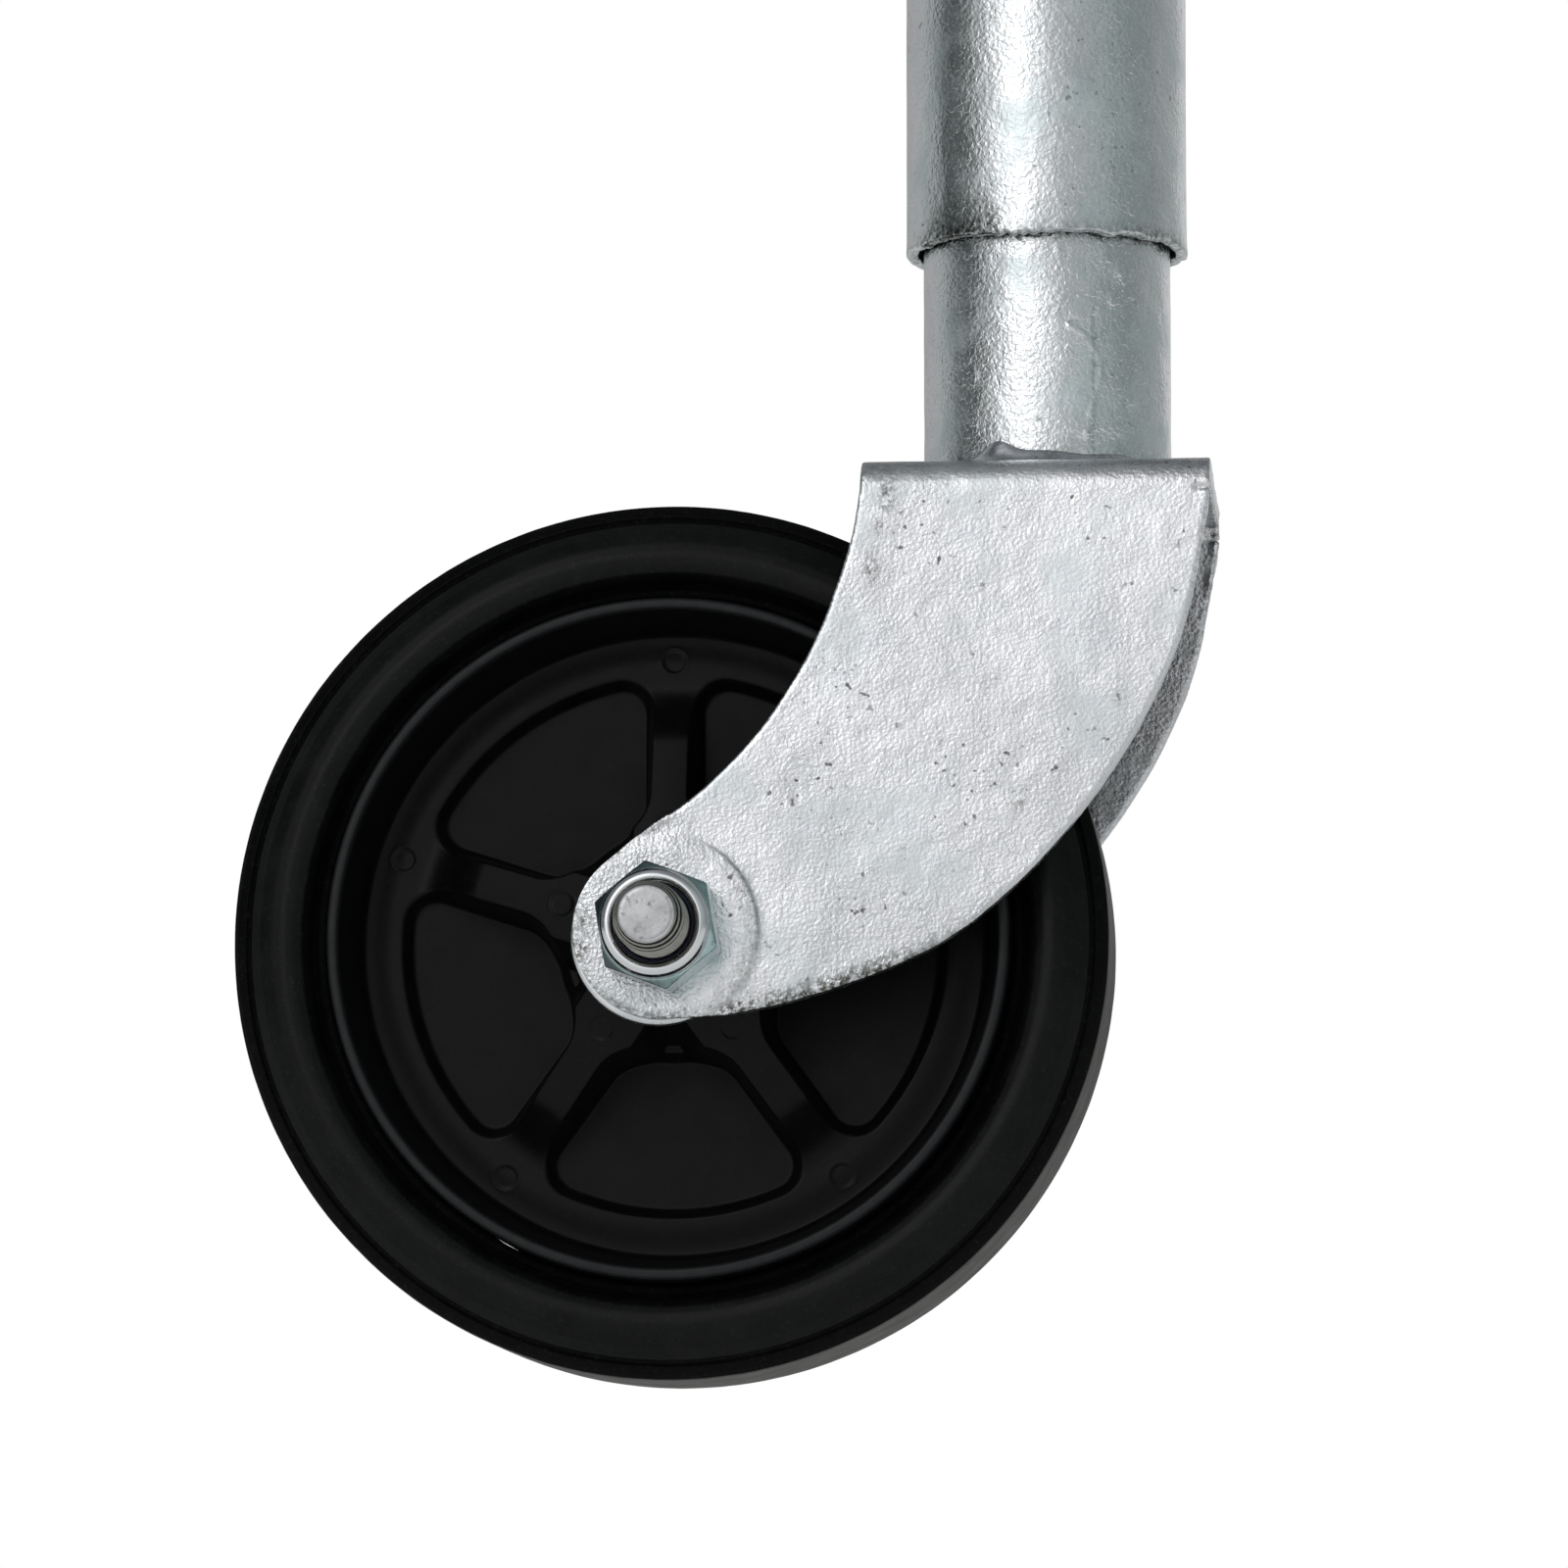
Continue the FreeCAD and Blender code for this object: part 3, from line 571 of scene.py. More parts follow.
def mark_edges(ob, scale=6.0, rounds=2, grime_and_shade_z=None):
    co, no = get_co(ob.data), get_no(ob.data)
    c = curvature(co, no, edge_list(ob.data), rounds)
    add_attr(ob, "edge", np.clip(c * scale, -1, 1))
    # the second map holds grime and painted shade in recesses, given per part
    g = np.zeros(len(co))
    if grime_and_shade_z is not None:
        g = grime_and_shade_z(co)
    add_attr(ob, "grime_and_shade", g)


prof = soften([(OUTER_R, TUBE_END), (OUTER_R, TUBE_TOP), (OUTER_IN, TUBE_TOP), (OUTER_IN, TUBE_END)], [0.55, 0.4, 0.3, 0.5], step=3.0, arc_step=18, support=0.25)
fine_rows = []
for i in range(len(prof)):
    a, b = prof[i], prof[(i + 1) % len(prof)]
    fine_rows.append(a)
    if min(a[0], b[0]) > OUTER_R - 0.05 and max(a[1], b[1]) < TUBE_END + 7 and abs(b[1] - a[1]) > 0.6:
        k = int(math.ceil(abs(b[1] - a[1]) / 0.4))
        fine_rows += [a + (b - a) * j / k for j in range(1, k)]
prof = np.array(fine_rows)
outer = lathe("outer_tube_galv", prof, 480, shape=tube_shape(3, 0.07, TUBE_END, 0.42, 0.14))
co = get_co(outer.data)
to_ = np.degrees(np.arctan2(co[:, 0], -co[:, 1]))
skin = np.hypot(co[:, 0], co[:, 1]) > OUTER_R - 0.7
hang = np.zeros(len(co))
for deg, wd, hh in ((-17.5, 2.6, 0.55), (-12.0, 2.2, 0.75), (-7.5, 1.8, 0.45), (-3.0, 2.0, 0.55), (31.0, 3.0, 0.3), (-60, 4, 0.4), (95, 5, 0.6), (150, 6, 0.5), (-120, 5, 0.5)):
    hang = np.maximum(hang, hh * np.exp(-(((to_ - deg + 180) % 360 - 180) / wd) ** 2))
near_rim = np.exp(-np.clip(co[:, 2] - TUBE_END, 0, None) / 0.9)
co[:, 2] -= hang * near_rim
rad_ = np.hypot(co[:, 0], co[:, 1])
co[:, :2] *= ((rad_ + 0.22 * hang * near_rim * skin) / rad_)[:, None]
set_co(outer.data, co)
rr = np.hypot(co[:, 0], co[:, 1])
# near the cut end: the end darker and patchy, painted shade in the bore, and a black stain with painted shade at the
# rim's left
low = 1 - smoothstep(0.2, 3.2, co[:, 2] - TUBE_END)
stain = smoothstep(0.05, 0.5, vnoise(np.stack([co[:, 0], co[:, 1], co[:, 2] * 0.2], 1), 9, 77))
bore_shade = smoothstep(23.2, 22.6, rr) * (1 - smoothstep(0, 20, co[:, 2] - TUBE_END))
stain_and_shade = smoothstep(-14, -22, to_) * smoothstep(-62, -48, to_) * smoothstep(9.0, 1.0, co[:, 2] - TUBE_END) * (0.6 + 0.7 * fnoise(co * np.array([1, 1, 0.35]), 3.5, 3, 97))
mark_edges(outer, 8.0, 1, lambda c: np.clip(low * (0.30 + 0.45 * stain) + bore_shade * 0.9 + 0.9 * np.clip(stain_and_shade, 0, 1), 0, 1))
# painted reflection: a dark band down the tube's left side
painted_dark_band = np.exp(-(((to_ + 41) / 6.5) ** 2)) * (0.5 + 0.8 * np.clip(fnoise(co * np.array([1, 1, 0.12]), 2.2, 3, 98), -0.6, 1))
add_attr(outer, "dull_and_shade", np.clip((painted_dark_band * 0.8 + 0.9 * np.clip(stain_and_shade, 0, 1)) * skin, 0, 0.85))
place(outer, "frame", "galv_outer", M["galv_outer"], "outer_tube")

prof = soften([(INNER_R, FORK_Z), (INNER_R, INNER_TOP), (INNER_IN, INNER_TOP), (INNER_IN, FORK_Z)], [0.1, 0.4, 0.3, 0.1], step=3.0, arc_step=18, support=0.25)
fine_rows = []
for i in range(len(prof)):
    a, b = prof[i], prof[(i + 1) % len(prof)]
    fine_rows.append(a)
    if min(a[0], b[0]) > INNER_R - 0.05 and min(a[1], b[1]) > FORK_Z - 0.1 and max(a[1], b[1]) < TUBE_END + 4 and abs(b[1] - a[1]) > 0.6:
        k = int(math.ceil(abs(b[1] - a[1]) / 0.35))
        fine_rows += [a + (b - a) * j / k for j in range(1, k)]
prof = np.array(fine_rows)
inner = lathe("inner_tube_galv", prof, 480, shape=tube_shape(8, 0.10))
co = get_co(inner.data)
# a run of zinc that set as it crept down the tube, and a few beads
th_ = np.arctan2(co[:, 0], -co[:, 1])
ua = np.stack([th_ * INNER_R, co[:, 2]], 1)


def path_dist(q, pts):
    best = np.full(len(q), 1e9)
    for a, b in zip(pts[:-1], pts[1:]):
        a, b = np.array(a, float), np.array(b, float)
        t = np.clip(((q - a) @ (b - a)) / ((b - a) @ (b - a)), 0, 1)
        best = np.minimum(best, np.hypot(*(q - a - t[:, None] * (b - a)).T))
    return best


def at(deg, z):
    return (math.radians(deg) * INNER_R, z)


outer_skin = np.hypot(co[:, 0], co[:, 1]) > INNER_R - 0.4
wig = np.stack([fnoise(co, 3.0, 2, 91), fnoise(co, 3.0, 2, 92)], 1) * 0.55
run = path_dist(ua + wig, [at(12, -215.5), at(20, -217.5), at(28, -221.5), at(27, -226), at(22, -231), at(20, -236)])
scratch = path_dist(ua, [at(2, -214.6), at(21, -214.9)])
up = np.zeros(len(co))
up += 0.22 * np.exp(-(run / 0.5) ** 2) * np.clip(0.6 + 1.1 * fnoise(co, 1.8, 2, 94), 0.15, 1.3)
left_of = smoothstep(11.0, 1.0, run)
up += 0.17 * left_of * (ua[:, 0] < math.radians(24) * INNER_R)
up -= 0.10 * np.exp(-(scratch / 0.28) ** 2)
for deg, z, r_, h_ in ((38, -206, 0.9, 0.22), (34, -211, 0.6, 0.18), (-33, -224, 0.8, 0.16), (45, -228, 0.7, 0.2), (8, -203, 0.6, 0.15)):
    q_ = np.array(at(deg, z))
    up += h_ * np.exp(-(((ua[:, 0] - q_[0]) / r_) ** 2 + ((ua[:, 1] - q_[1]) / (r_ * 1.6)) ** 2))
nrm = np.stack([co[:, 0], co[:, 1], co[:, 2] * 0], 1) / np.hypot(co[:, 0], co[:, 1])[:, None]
co = co + nrm * (up * outer_skin)[:, None]
set_co(inner.data, co)
# painted shade where the tube goes into the outer tube, and a little darker towards the foot
foot = 1 - smoothstep(0.5, 6.5, co[:, 2] - FORK_Z)
gap_shade = 0.8 * smoothstep(TUBE_END - 2.2, TUBE_END + 0.6, co[:, 2]) * smoothstep(TUBE_END + 7.0, TUBE_END + 1.5, co[:, 2])
mark_edges(inner, 8.0, 1, lambda c: np.clip(foot * 0.25 + gap_shade, 0, 1))
# painted reflection: a dark band down the tube's left side
painted_dark_band = np.exp(-(((np.degrees(th_) + 41) / 5.5) ** 2)) * (0.55 + 0.8 * np.clip(fnoise(co * np.array([1, 1, 0.12]), 2.2, 3, 95), -0.6, 1))
add_attr(inner, "dull_and_shade", np.clip(painted_dark_band * 0.85 * outer_skin, 0, 0.85))
place(inner, "castor", "galv_inner", M["galv_inner"], "inner_tube")

# ---------------------------------------------------------------- weld bead around the foot of the inner tube
NB = 720
ph = np.arange(NB) * 2 * math.pi / NB
tt = np.linspace(0, 1, 26)
ring = np.stack([np.cos(ph) * 23, np.sin(ph) * 23, ph * 0], -1)


def around(deg, width):
    d = (np.degrees(ph) - deg + 180) % 360 - 180
    return np.exp(-(d / width) ** 2)


wid = 3.1 + 0.25 * fnoise(ring, 9, 2, 21) + 0.5 * around(250, 14)
hei = 1.7 + 0.35 * fnoise(ring, 8, 2, 22) + 2.3 * around(249, 9) + 0.7 * around(272, 16) + 0.5 * around(305, 12) + 0.6 * around(70, 25) - 0.4 * around(228, 8)
P = np.zeros((len(tt), NB, 3))
for i, t in enumerate(tt):
    a = t * math.pi / 2
    # a smooth hollow fillet from the plate up to the tube
    rad = INNER_R + wid * (1 - t) * (1 - 0.30 * math.sin(math.pi * t))
    z = FORK_Z - 0.15 + (hei + 0.15) * (t ** 1.25)
    swell = 0.18 * fnoise(np.stack([ring[:, 0], ring[:, 1], ring[:, 0] * 0 + t * 3], 1), 5, 2, 23) * math.sin(math.pi * t)
    P[i, :, 0] = (rad + swell) * np.cos(ph)
    P[i, :, 1] = (rad + swell) * np.sin(ph)
    P[i, :, 2] = z + swell * 0.6
inner_edge = P[-1].copy()
inner_edge[:, :2] *= ((INNER_R - 0.3) / np.hypot(inner_edge[:, 0], inner_edge[:, 1]))[:, None]
bottom = P[0].copy()
bottom[:, :2] *= ((INNER_R - 0.3) / np.hypot(bottom[:, 0], bottom[:, 1]))[:, None]
P = np.concatenate([P, inner_edge[None], bottom[None]], 0)
bead = new_obj("weld_fillet", P.reshape(-1, 3), grid_faces(len(P), NB, True, True))
weld(bead)
mark_edges(bead, 6.0, 2, lambda c: 0.35 * smoothstep(0.1, 0.6, vnoise(c, 4, 31)))
place(bead, "castor", "galv_weld", M["galv_weld"], "weld_bead")

# ---------------------------------------------------------------- fork: dipped plate with softened edges
src = NODES["fork"]
tmp = bpy.data.objects.new("fork_tmp", src.data.copy())
bpy.context.scene.collection.objects.link(tmp)
bm = bmesh.new()
bm.from_mesh(tmp.data)
bmesh.ops.remove_doubles(bm, verts=bm.verts, dist=2e-6)
bm.to_mesh(tmp.data)
bm.free()
md = tmp.modifiers.new("r", "REMESH")
md.mode = "VOXEL"
md.voxel_size = 0.40 * MM
md.adaptivity = 0.0
sm = tmp.modifiers.new("s", "SMOOTH")
sm.factor = 0.5
sm.iterations = 5
fork_me = evaluated(tmp, "fork_galv")
bpy.data.objects.remove(tmp)
fork = bpy.data.objects.new("fork_galv", fork_me)
bpy.context.scene.collection.objects.link(fork)
co = get_co(fork_me)
# the pressed pad eases into the plate
d = np.hypot(co[:, 0] - AX, co[:, 2] - AZ)
sgn = np.sign(co[:, 1])
ay = np.abs(co[:, 1])
outside = (ay > HALF_W - 0.9) & (d > 6.3) & (d < 19.5)
pad_a = np.arctan2(co[:, 2] - AZ, co[:, 0] - AX)
crisp = smoothstep(0.15, 0.8, np.cos(pad_a - math.radians(-8)))
easy = 1 - smoothstep(PAD_R - 3.0, PAD_R + 1.6, d)
sharp = 1 - smoothstep(PAD_R - 0.25, PAD_R + 0.35, d)
PAD_UP = 0.55
want = HALF_W + PAD_UP * ((1 - 0.55 * crisp) * easy + 0.55 * crisp * sharp)
rim = (ay > HALF_W + 0.02) | (d > PAD_R - 0.3)
fade = smoothstep(HALF_W - 0.9, HALF_W - 0.3, ay)
co[:, 1] = np.where(outside & rim, sgn * (ay * (1 - fade) + want * fade), co[:, 1])
set_co(fork_me, co)
no = get_no(fork_me)
el = edge_list(fork_me)
curv = curvature(co, no, el, 3)
lump = 0.055 * fnoise(co, 8.0, 2, 51) + 0.030 * fnoise(co, 2.6, 2, 52)
# runs and beads of zinc gather along the lower and rear edges
e01 = np.clip(curv * 14, 0, 1)
drip = np.clip(fnoise(co * np.array([1, 1, 0.6]), 3.2, 2, 53), 0, 1) * e01 * 0.35
rear = smoothstep(20, 27, co[:, 0]) * smoothstep(FORK_Z - 30, FORK_Z - 14, co[:, 2]) * (co[:, 1] > 20)
beads = np.clip(fnoise(co, 1.9, 2, 58), 0, 1) * e01 * rear * 0.55
corner = np.exp(-(((co[:, 0] - 28.5) / 4.0) ** 2 + ((co[:, 2] - (FORK_Z - 9)) / 9.0) ** 2)) * np.clip(0.3 + fnoise(co, 2.6, 2, 60), 0, 1) * np.clip(e01 * 1.5, 0, 1)
drip = drip * (1 + 1.6 * rear) + beads + 0.5 * corner
co = co + no * (lump + drip)[:, None]
set_co(fork_me, co)
add_attr(fork, "edge", np.clip(curv * 14, -1, 1))
# painted shade inside the channel
inside_shade = ((np.abs(co[:, 1]) < HALF_W - 2.4) & (co[:, 2] < FORK_Z - 2.5)).astype(float)
ew = np.clip(e01 * 1.6, 0, 1)
for _ in range(5):
    nxt = ew.copy()
    np.maximum.at(nxt, el[:, 0], ew[el[:, 1]] * 0.86)
    np.maximum.at(nxt, el[:, 1], ew[el[:, 0]] * 0.86)
    ew = nxt
front = (co[:, 1] < -27).astype(float)
low_right = smoothstep(AX - 12, AX - 2, co[:, 0]) * smoothstep(AX + 62, AX + 30, co[:, 0]) * smoothstep(-296, -312, co[:, 2])
lowedge = ew * np.clip(low_right + 0.7 * smoothstep(AX + 4, AX - 6, co[:, 0]) * smoothstep(-300, -318, co[:, 2]), 0, 1) * front
spots = np.zeros(len(co))
for sx, sz, sr in ((-25.6, -246.6, 1.5), (-28.3, -258.6, 1.3), (-27.0, -251.5, 0.7), (-3.6, -297.8, 0.9), (-4.3, -296.2, 0.6), (-76.5, -318.0, 1.2), (-76.8, -322.5, 0.9), (-9.5, -262.0, 0.5), (13.0, -281.0, 0.6)):
    spots = np.maximum(spots, np.exp(-(((co[:, 0] - sx) / sr) ** 2 + ((co[:, 2] - sz) / (sr * 1.8)) ** 2)) * (co[:, 1] < -30))
# painted shade: a dark band along the top of the bend
top_fold_shade = smoothstep(FORK_Z - 6.5, FORK_Z - 4.0, co[:, 2]) * smoothstep(12, 26, np.abs(co[:, 0])) * 0.25
grit = front * np.clip(smoothstep(24, 14, d) * smoothstep(0.3, -0.5, np.cos(pad_a - math.radians(-8))) + 1.2 * ew * (low_right + smoothstep(AX, AX - 8, co[:, 0])), 0, 1)
add_attr(fork, "grit", grit)
# painted shade: the plate darker towards its lower part and at the upper left, less so on the pad and in a painted
# lighter ring beside it; the dark dross on the lower edge is real
painted_shade_zone = smoothstep(-252, -333, co[:, 2]) * (1 - 0.6 * crisp * smoothstep(17.5, 15.5, d)) * (0.85 + 0.5 * fnoise(co, 14, 2, 57)) + 0.5 * smoothstep(2, -30, co[:, 0]) * smoothstep(-285, -262, co[:, 2])
painted_light_ring = np.exp(-(((d - 20) / 5) ** 2)) * smoothstep(0.2, 0.8, np.cos(pad_a - math.radians(20)))
painted_shade_zone = painted_shade_zone - 0.35 * painted_light_ring
add_attr(fork, "dull_and_shade", np.clip(0.54 * painted_shade_zone + 0.5 * lowedge * np.clip(0.5 + 1.2 * fnoise(co, 1.6, 2, 59), 0, 1.2), 0, 0.9))
# painted shade inside the channel and along the bend's top, with real spots, dross on the lower edge and zinc beads
add_attr(fork, "grime_and_shade", np.clip(0.9 * spots + 1.5 * lowedge + 0.30 * inside_shade + top_fold_shade + 0.5 * rear * e01, 0, 1))
for poly in fork_me.polygons:
    poly.use_smooth = True
place(fork, "castor", "galv_fork", M["galv_fork"], "fork")


# ---------------------------------------------------------------- nut, bolt, washers
def hex_r(F, af, turn, k=0.35):
    """Distance to a hexagon's side at angle F, its corners slightly rounded."""
    out = None
    for i in range(6):
        a = math.radians(turn + 30 + 60 * i)
        c = np.cos(F - a)
        d = np.where(c > 0.05, (af / 2) / np.maximum(c, 0.05), 1e3)
        out = d if out is None else smin(out, d, k)
    return out


AXC = (AX, 0, AZ)
NUT0, NUT1, NUT2 = -PAD_FACE, -PAD_FACE - 8.8, -PAD_FACE - 12.0
rc = 19 / math.sqrt(3)
p = soften([(6.1, NUT0 + 1.0), (9.3, NUT0 + 1.0), (rc + 0.5, NUT0 - 0.2), (rc + 0.5, NUT1 + 1.5), (9.45, NUT1 + 0.1), (9.2, NUT1 - 0.1),
            (9.12, NUT2 + 1.4), (8.70, NUT2 + 0.45), (7.95, NUT2), (7.15, NUT2 + 0.12), (6.72, NUT2 + 0.55), (6.62, NUT2 + 1.5), (6.9, NUT2 + 2.4), (6.1, NUT2 + 2.4)],
           [0.1, 0.2, 0.1, 0.25, 0.2, 0.2, 0.7, 0.7, 0.9, 0.6, 0.35, 0.3, 0.1, 0.1], step=0.5, arc_step=10, support=0.06)


def nut_shape(R, H, F):
    hx = hex_r(F, 19.0, 39.5)
    body = (H > NUT1 + 0.04)
    return np.where(body, smin(R, hx, 0.22), R), H


nut = lathe("lock_nut", p, 360, "y", AXC, shape=nut_shape)
nc_ = get_co(nut.data)
add_attr(nut, "collar", smoothstep(NUT1 + 0.15, NUT1 - 0.25, nc_[:, 1]))
na_ = np.arctan2(nc_[:, 2] - AZ, nc_[:, 0] - AX)
add_attr(nut, "shadow", np.clip(smoothstep(-0.15, 0.75, np.cos(na_ - math.radians(-152))) + 0.75 * smoothstep(0.5, 0.95, np.cos(na_ - math.radians(112))), 0, 1) * smoothstep(NUT1 - 0.1, NUT1 + 0.25, nc_[:, 1]))
place(nut, "castor", "zinc_nut", M["zinc_nut"], "axle_nut")

p = soften([(6.05, NUT2 + 2.5), (6.88, NUT2 + 2.5), (6.7, NUT2 + 1.7), (6.55, NUT2 + 1.45), (6.2, NUT2 + 1.5), (6.05, NUT2 + 1.8)],
           [0.1, 0.1, 0.3, 0.35, 0.35, 0.2], step=0.4, arc_step=20, support=0.05)
ins = lathe("lock_ring", p, 180, "y", AXC)
place(ins, "castor", "nylon_dark", M["nylon_dark"], "nut_insert")

# bolt: hexagon head, plain shank, rolled M12 thread, cut end
PITCH = 1.75
B0, B1 = -57.5, PAD_FACE
n_phi = 160
ys = np.concatenate([np.arange(B0 + 0.0, -40.0, 0.0875)])
phi = np.arange(n_phi) * 2 * math.pi / n_phi
Y2, F2 = np.meshgrid(ys, phi, indexing="ij")
q = ((Y2 / PITCH) - F2 / (2 * math.pi)) % 1.0
tri = 1 - np.abs(q - 0.5) * 2
crest = np.clip((tri - 0.10) / 0.78, 0, 1)
crest = crest * 0.86 + 0.14 * smoothstep(0, 1, crest)
Rt = 6.0 - 1.05 * (1 - crest)
# the thread runs out into a bevel at the end
bev = 4.85 + (Y2 - B0) * 0.25
Rt = smin(Rt, bev, 0.12)
Rt = np.minimum(Rt, bev - 0.85 * (1 - crest) * smoothstep(B0, B0 + 0.8, Y2))
Rt = np.where(Y2 < B0 + 0.25, 4.85 - 0.25 * (1 - (Y2 - B0) / 0.25), Rt)
nick = np.stack([Rt * np.cos(F2), Y2, Rt * np.sin(F2)], -1).reshape(-1, 3)
Rt = Rt - 0.05 * np.clip(fnoise(nick, 1.8, 2, 61).reshape(Rt.shape), 0, 1)
thread = np.stack([Rt * np.cos(F2), Y2, Rt * np.sin(F2)], -1)
# cut end face, slightly rough and a little off square
rings = []
for r in np.linspace(0.02, 4.62, 22):
    x, z = r * np.cos(phi), r * np.sin(phi)
    pts = np.stack([x, x * 0, z], -1)
    yy = B0 + 0.06 * fnoise(pts, 2.6, 3, 62) + 0.05 + 0.10 * smoothstep(3.9, 4.62, np.full(n_phi, r))
    rings.append(np.stack([x, yy, z], -1))
shank_y = np.concatenate([np.arange(-40.0, PAD_FACE, 4.0), [PAD_FACE]])
shank = [np.stack([(6.0 if yy > -30 else 5.9) * np.cos(phi), np.full(n_phi, yy), (6.0 if yy > -30 else 5.9) * np.sin(phi)], -1) for yy in shank_y]
hp = soften([(6.0, PAD_FACE - 1.0), (8.6, PAD_FACE - 1.0), (8.7, PAD_FACE + 0.3), (9.3, PAD_FACE + 0.6), (rc + 0.6, PAD_FACE + 1.1), (rc + 0.6, PAD_FACE + 5.3),
             (8.8, PAD_FACE + 7.45), (6.6, PAD_FACE + 7.5), (5.6, PAD_FACE + 7.05), (0.02, PAD_FACE + 7.0)],
            [0, 0.1, 0.1, 0.2, 0.1, 0.3, 0.5, 0.5, 0.5, 0], step=0.6, closed=False, arc_step=15, support=0.08)
Rh = np.repeat(hp[:, :1], n_phi, 1)
Hh = np.repeat(hp[:, 1:], n_phi, 1)
Fh = np.repeat(phi[None], len(hp), 0)
Rh = np.where(Hh > PAD_FACE + 0.45, smin(Rh, hex_r(Fh, 19.0, 12.0), 0.22), Rh)
head = np.stack([Rh * np.cos(Fh), Hh, Rh * np.sin(Fh)], -1)
G = np.concatenate([np.array(rings), thread, np.array(shank)[1:], head[1:]], 0)
G = G + np.array(AXC)
bolt = new_obj("axle_bolt_threaded", G.reshape(-1, 3), grid_faces(len(G), n_phi, False, True))
# painted shade in the thread's grooves, where the back flanks hide
valley_shade = np.zeros(G.shape[:2])
valley_shade[len(rings):len(rings) + len(ys)] = (1 - smoothstep(0.72, 0.96, crest)) * smoothstep(B0 + 0.1, B0 + 0.5, Y2)
thr = np.zeros(G.shape[:2])
thr[len(rings):len(rings) + len(ys)] = smoothstep(B0, B0 + 0.4, Y2)
add_attr(bolt, "valley_shade", valley_shade.ravel())
add_attr(bolt, "thread", thr.ravel())
weld(bolt, 3e-5)
place(bolt, "castor", "zinc_bolt", M["zinc_bolt"], "axle_bolt")


def washer_obj(side):
    y0, y1 = 26.5 * side, 29.0 * side
    lo, hi = min(y0, y1), max(y0, y1)
    p = soften([(7.0, lo), (7.0, hi), (15.0, hi), (15.0, lo)], [0.25, 0.25, 0.85, 0.85], step=1.5, arc_step=10, support=0.1)
    return lathe("hub_washer_" + ("front" if side < 0 else "back"), p, 144, "y", (AX - 0.55, 0, AZ - 0.75))


for side in (-1, 1):
    w = washer_obj(side)
    place(w, "castor", "zinc_fastener", M["zinc_fastener"], "hub_washers")

# ---------------------------------------------------------------- wheel
NPHI = 900
phi = np.arange(NPHI) * 2 * math.pi / NPHI
LIP_HALF, RING = 21.5, 7.0


def spoke_coords(r, F):
    """Along and across the nearest spoke."""
    k = np.round((np.degrees(F) - 18) / 72)
    a = F - np.radians(18 + 72 * k)
    return r * np.cos(a), r * np.sin(a)


def wheel_level(r, F, panel):
    """Height of the disc's face above the wheel's mid plane, and how much of it is closed panel."""
    al, ac = spoke_coords(r, F)
    t = np.abs(ac)
    RF = 5.0
    m1 = np.maximum(r - 44.7, 20.3 - r) + RF
    d3 = 5.1 - t + RF
    dd = np.sqrt(np.maximum(m1, 0) ** 2 + np.maximum(d3, 0) ** 2) + np.minimum(np.maximum(m1, d3), 0) - RF
    g = smoothstep(0.0, 2.15, dd)
    g = g * (0.9 + 0.1 * g)
    # spoke crest: falls from the hub, then drops to the ring
    S = 21.6 - 0.352 * (al - 13.5)
    e = smoothstep(34.0, 45.0, al)
    S = S * (1 - e) + RING * e
    side = 1 - smoothstep(5.6, 9.5, t)
    ring = RING - 0.55 * smoothstep(47.6, 52.2, r)
    U = ring + np.maximum(S - RING, 0) * side
    U = U - 0.10 * (t / 3.0) ** 2 * side * (1 - e)
    hub = 26.2 - (r - 13.3) * (26.2 - RING) / 3.7
    U = smax(U, hub, 2.0)
    U = np.minimum(U, 26.2)
    lev = panel + (U - panel) * g
    lev = np.where(r < 20.4, np.maximum(lev, smax(panel + 0 * hub, hub, 1.2)), lev)
    return lev, 1 - smoothstep(0.0, 0.5, dd)


def build_side(side, panel):
    rs = np.concatenate([[10.02, 10.25], np.arange(10.6, 13.2, 0.45), np.arange(13.2, 52.7, 0.30)])
    R, F = np.meshgrid(rs, phi, indexing="ij")
    lev, pan = wheel_level(R, F, panel)
    lev = np.where(R < 13.2, 26.2 - 0.25 * smoothstep(10.6, 10.02, R), lev)
    # ejector pin marks
    for k in range(5):
        for rad in (18.8, 48.8):
            a = math.radians(18 + 72 * k)
            d = np.hypot(R * np.cos(F) - rad * math.cos(a), R * np.sin(F) - rad * math.sin(a))
            lev = lev - 0.20 * (1 - smoothstep(1.75, 2.1, d)) + 0.07 * np.exp(-((d - 2.25) / 0.22) ** 2)
    pts = np.stack([R * np.cos(F), F * 0, R * np.sin(F)], -1).reshape(-1, 3)
    lev = lev + 0.035 * fnoise(pts, 11, 2, 71 + side).reshape(R.shape)
    return R, F, lev * side, pan


RF_, FF_, LF_, PF_ = build_side(-1, 4.2)
RB_, FB_, LB_, PB_ = build_side(1, 1.2)
# outer wall, lip and seat, from the front face round to the back
wall = soften([(52.8, -RING + 0.55), (53.5, -RING - 0.2), (56.0, -LIP_HALF + 0.9), (56.15, -LIP_HALF), (57.4, -LIP_HALF), (57.75, -LIP_HALF + 0.9), (58.15, -18.3), (58.25, 0),
               (58.15, 18.3), (57.75, LIP_HALF - 0.9), (57.4, LIP_HALF), (56.15, LIP_HALF), (56.0, LIP_HALF - 0.9), (53.5, RING + 0.2), (52.8, RING - 0.55)],
              [0, 1.6, 0.4, 0.6, 0.6, 0.4, 0.2, 0, 0.2, 0.4, 0.6, 0.6, 0.4, 1.6, 0], step=1.2, closed=False, arc_step=16, support=0.15)
Rw = np.repeat(wall[:, :1], NPHI, 1)
Hw = np.repeat(wall[:, 1:], NPHI, 1)
Fw = np.repeat(phi[None], len(wall), 0)
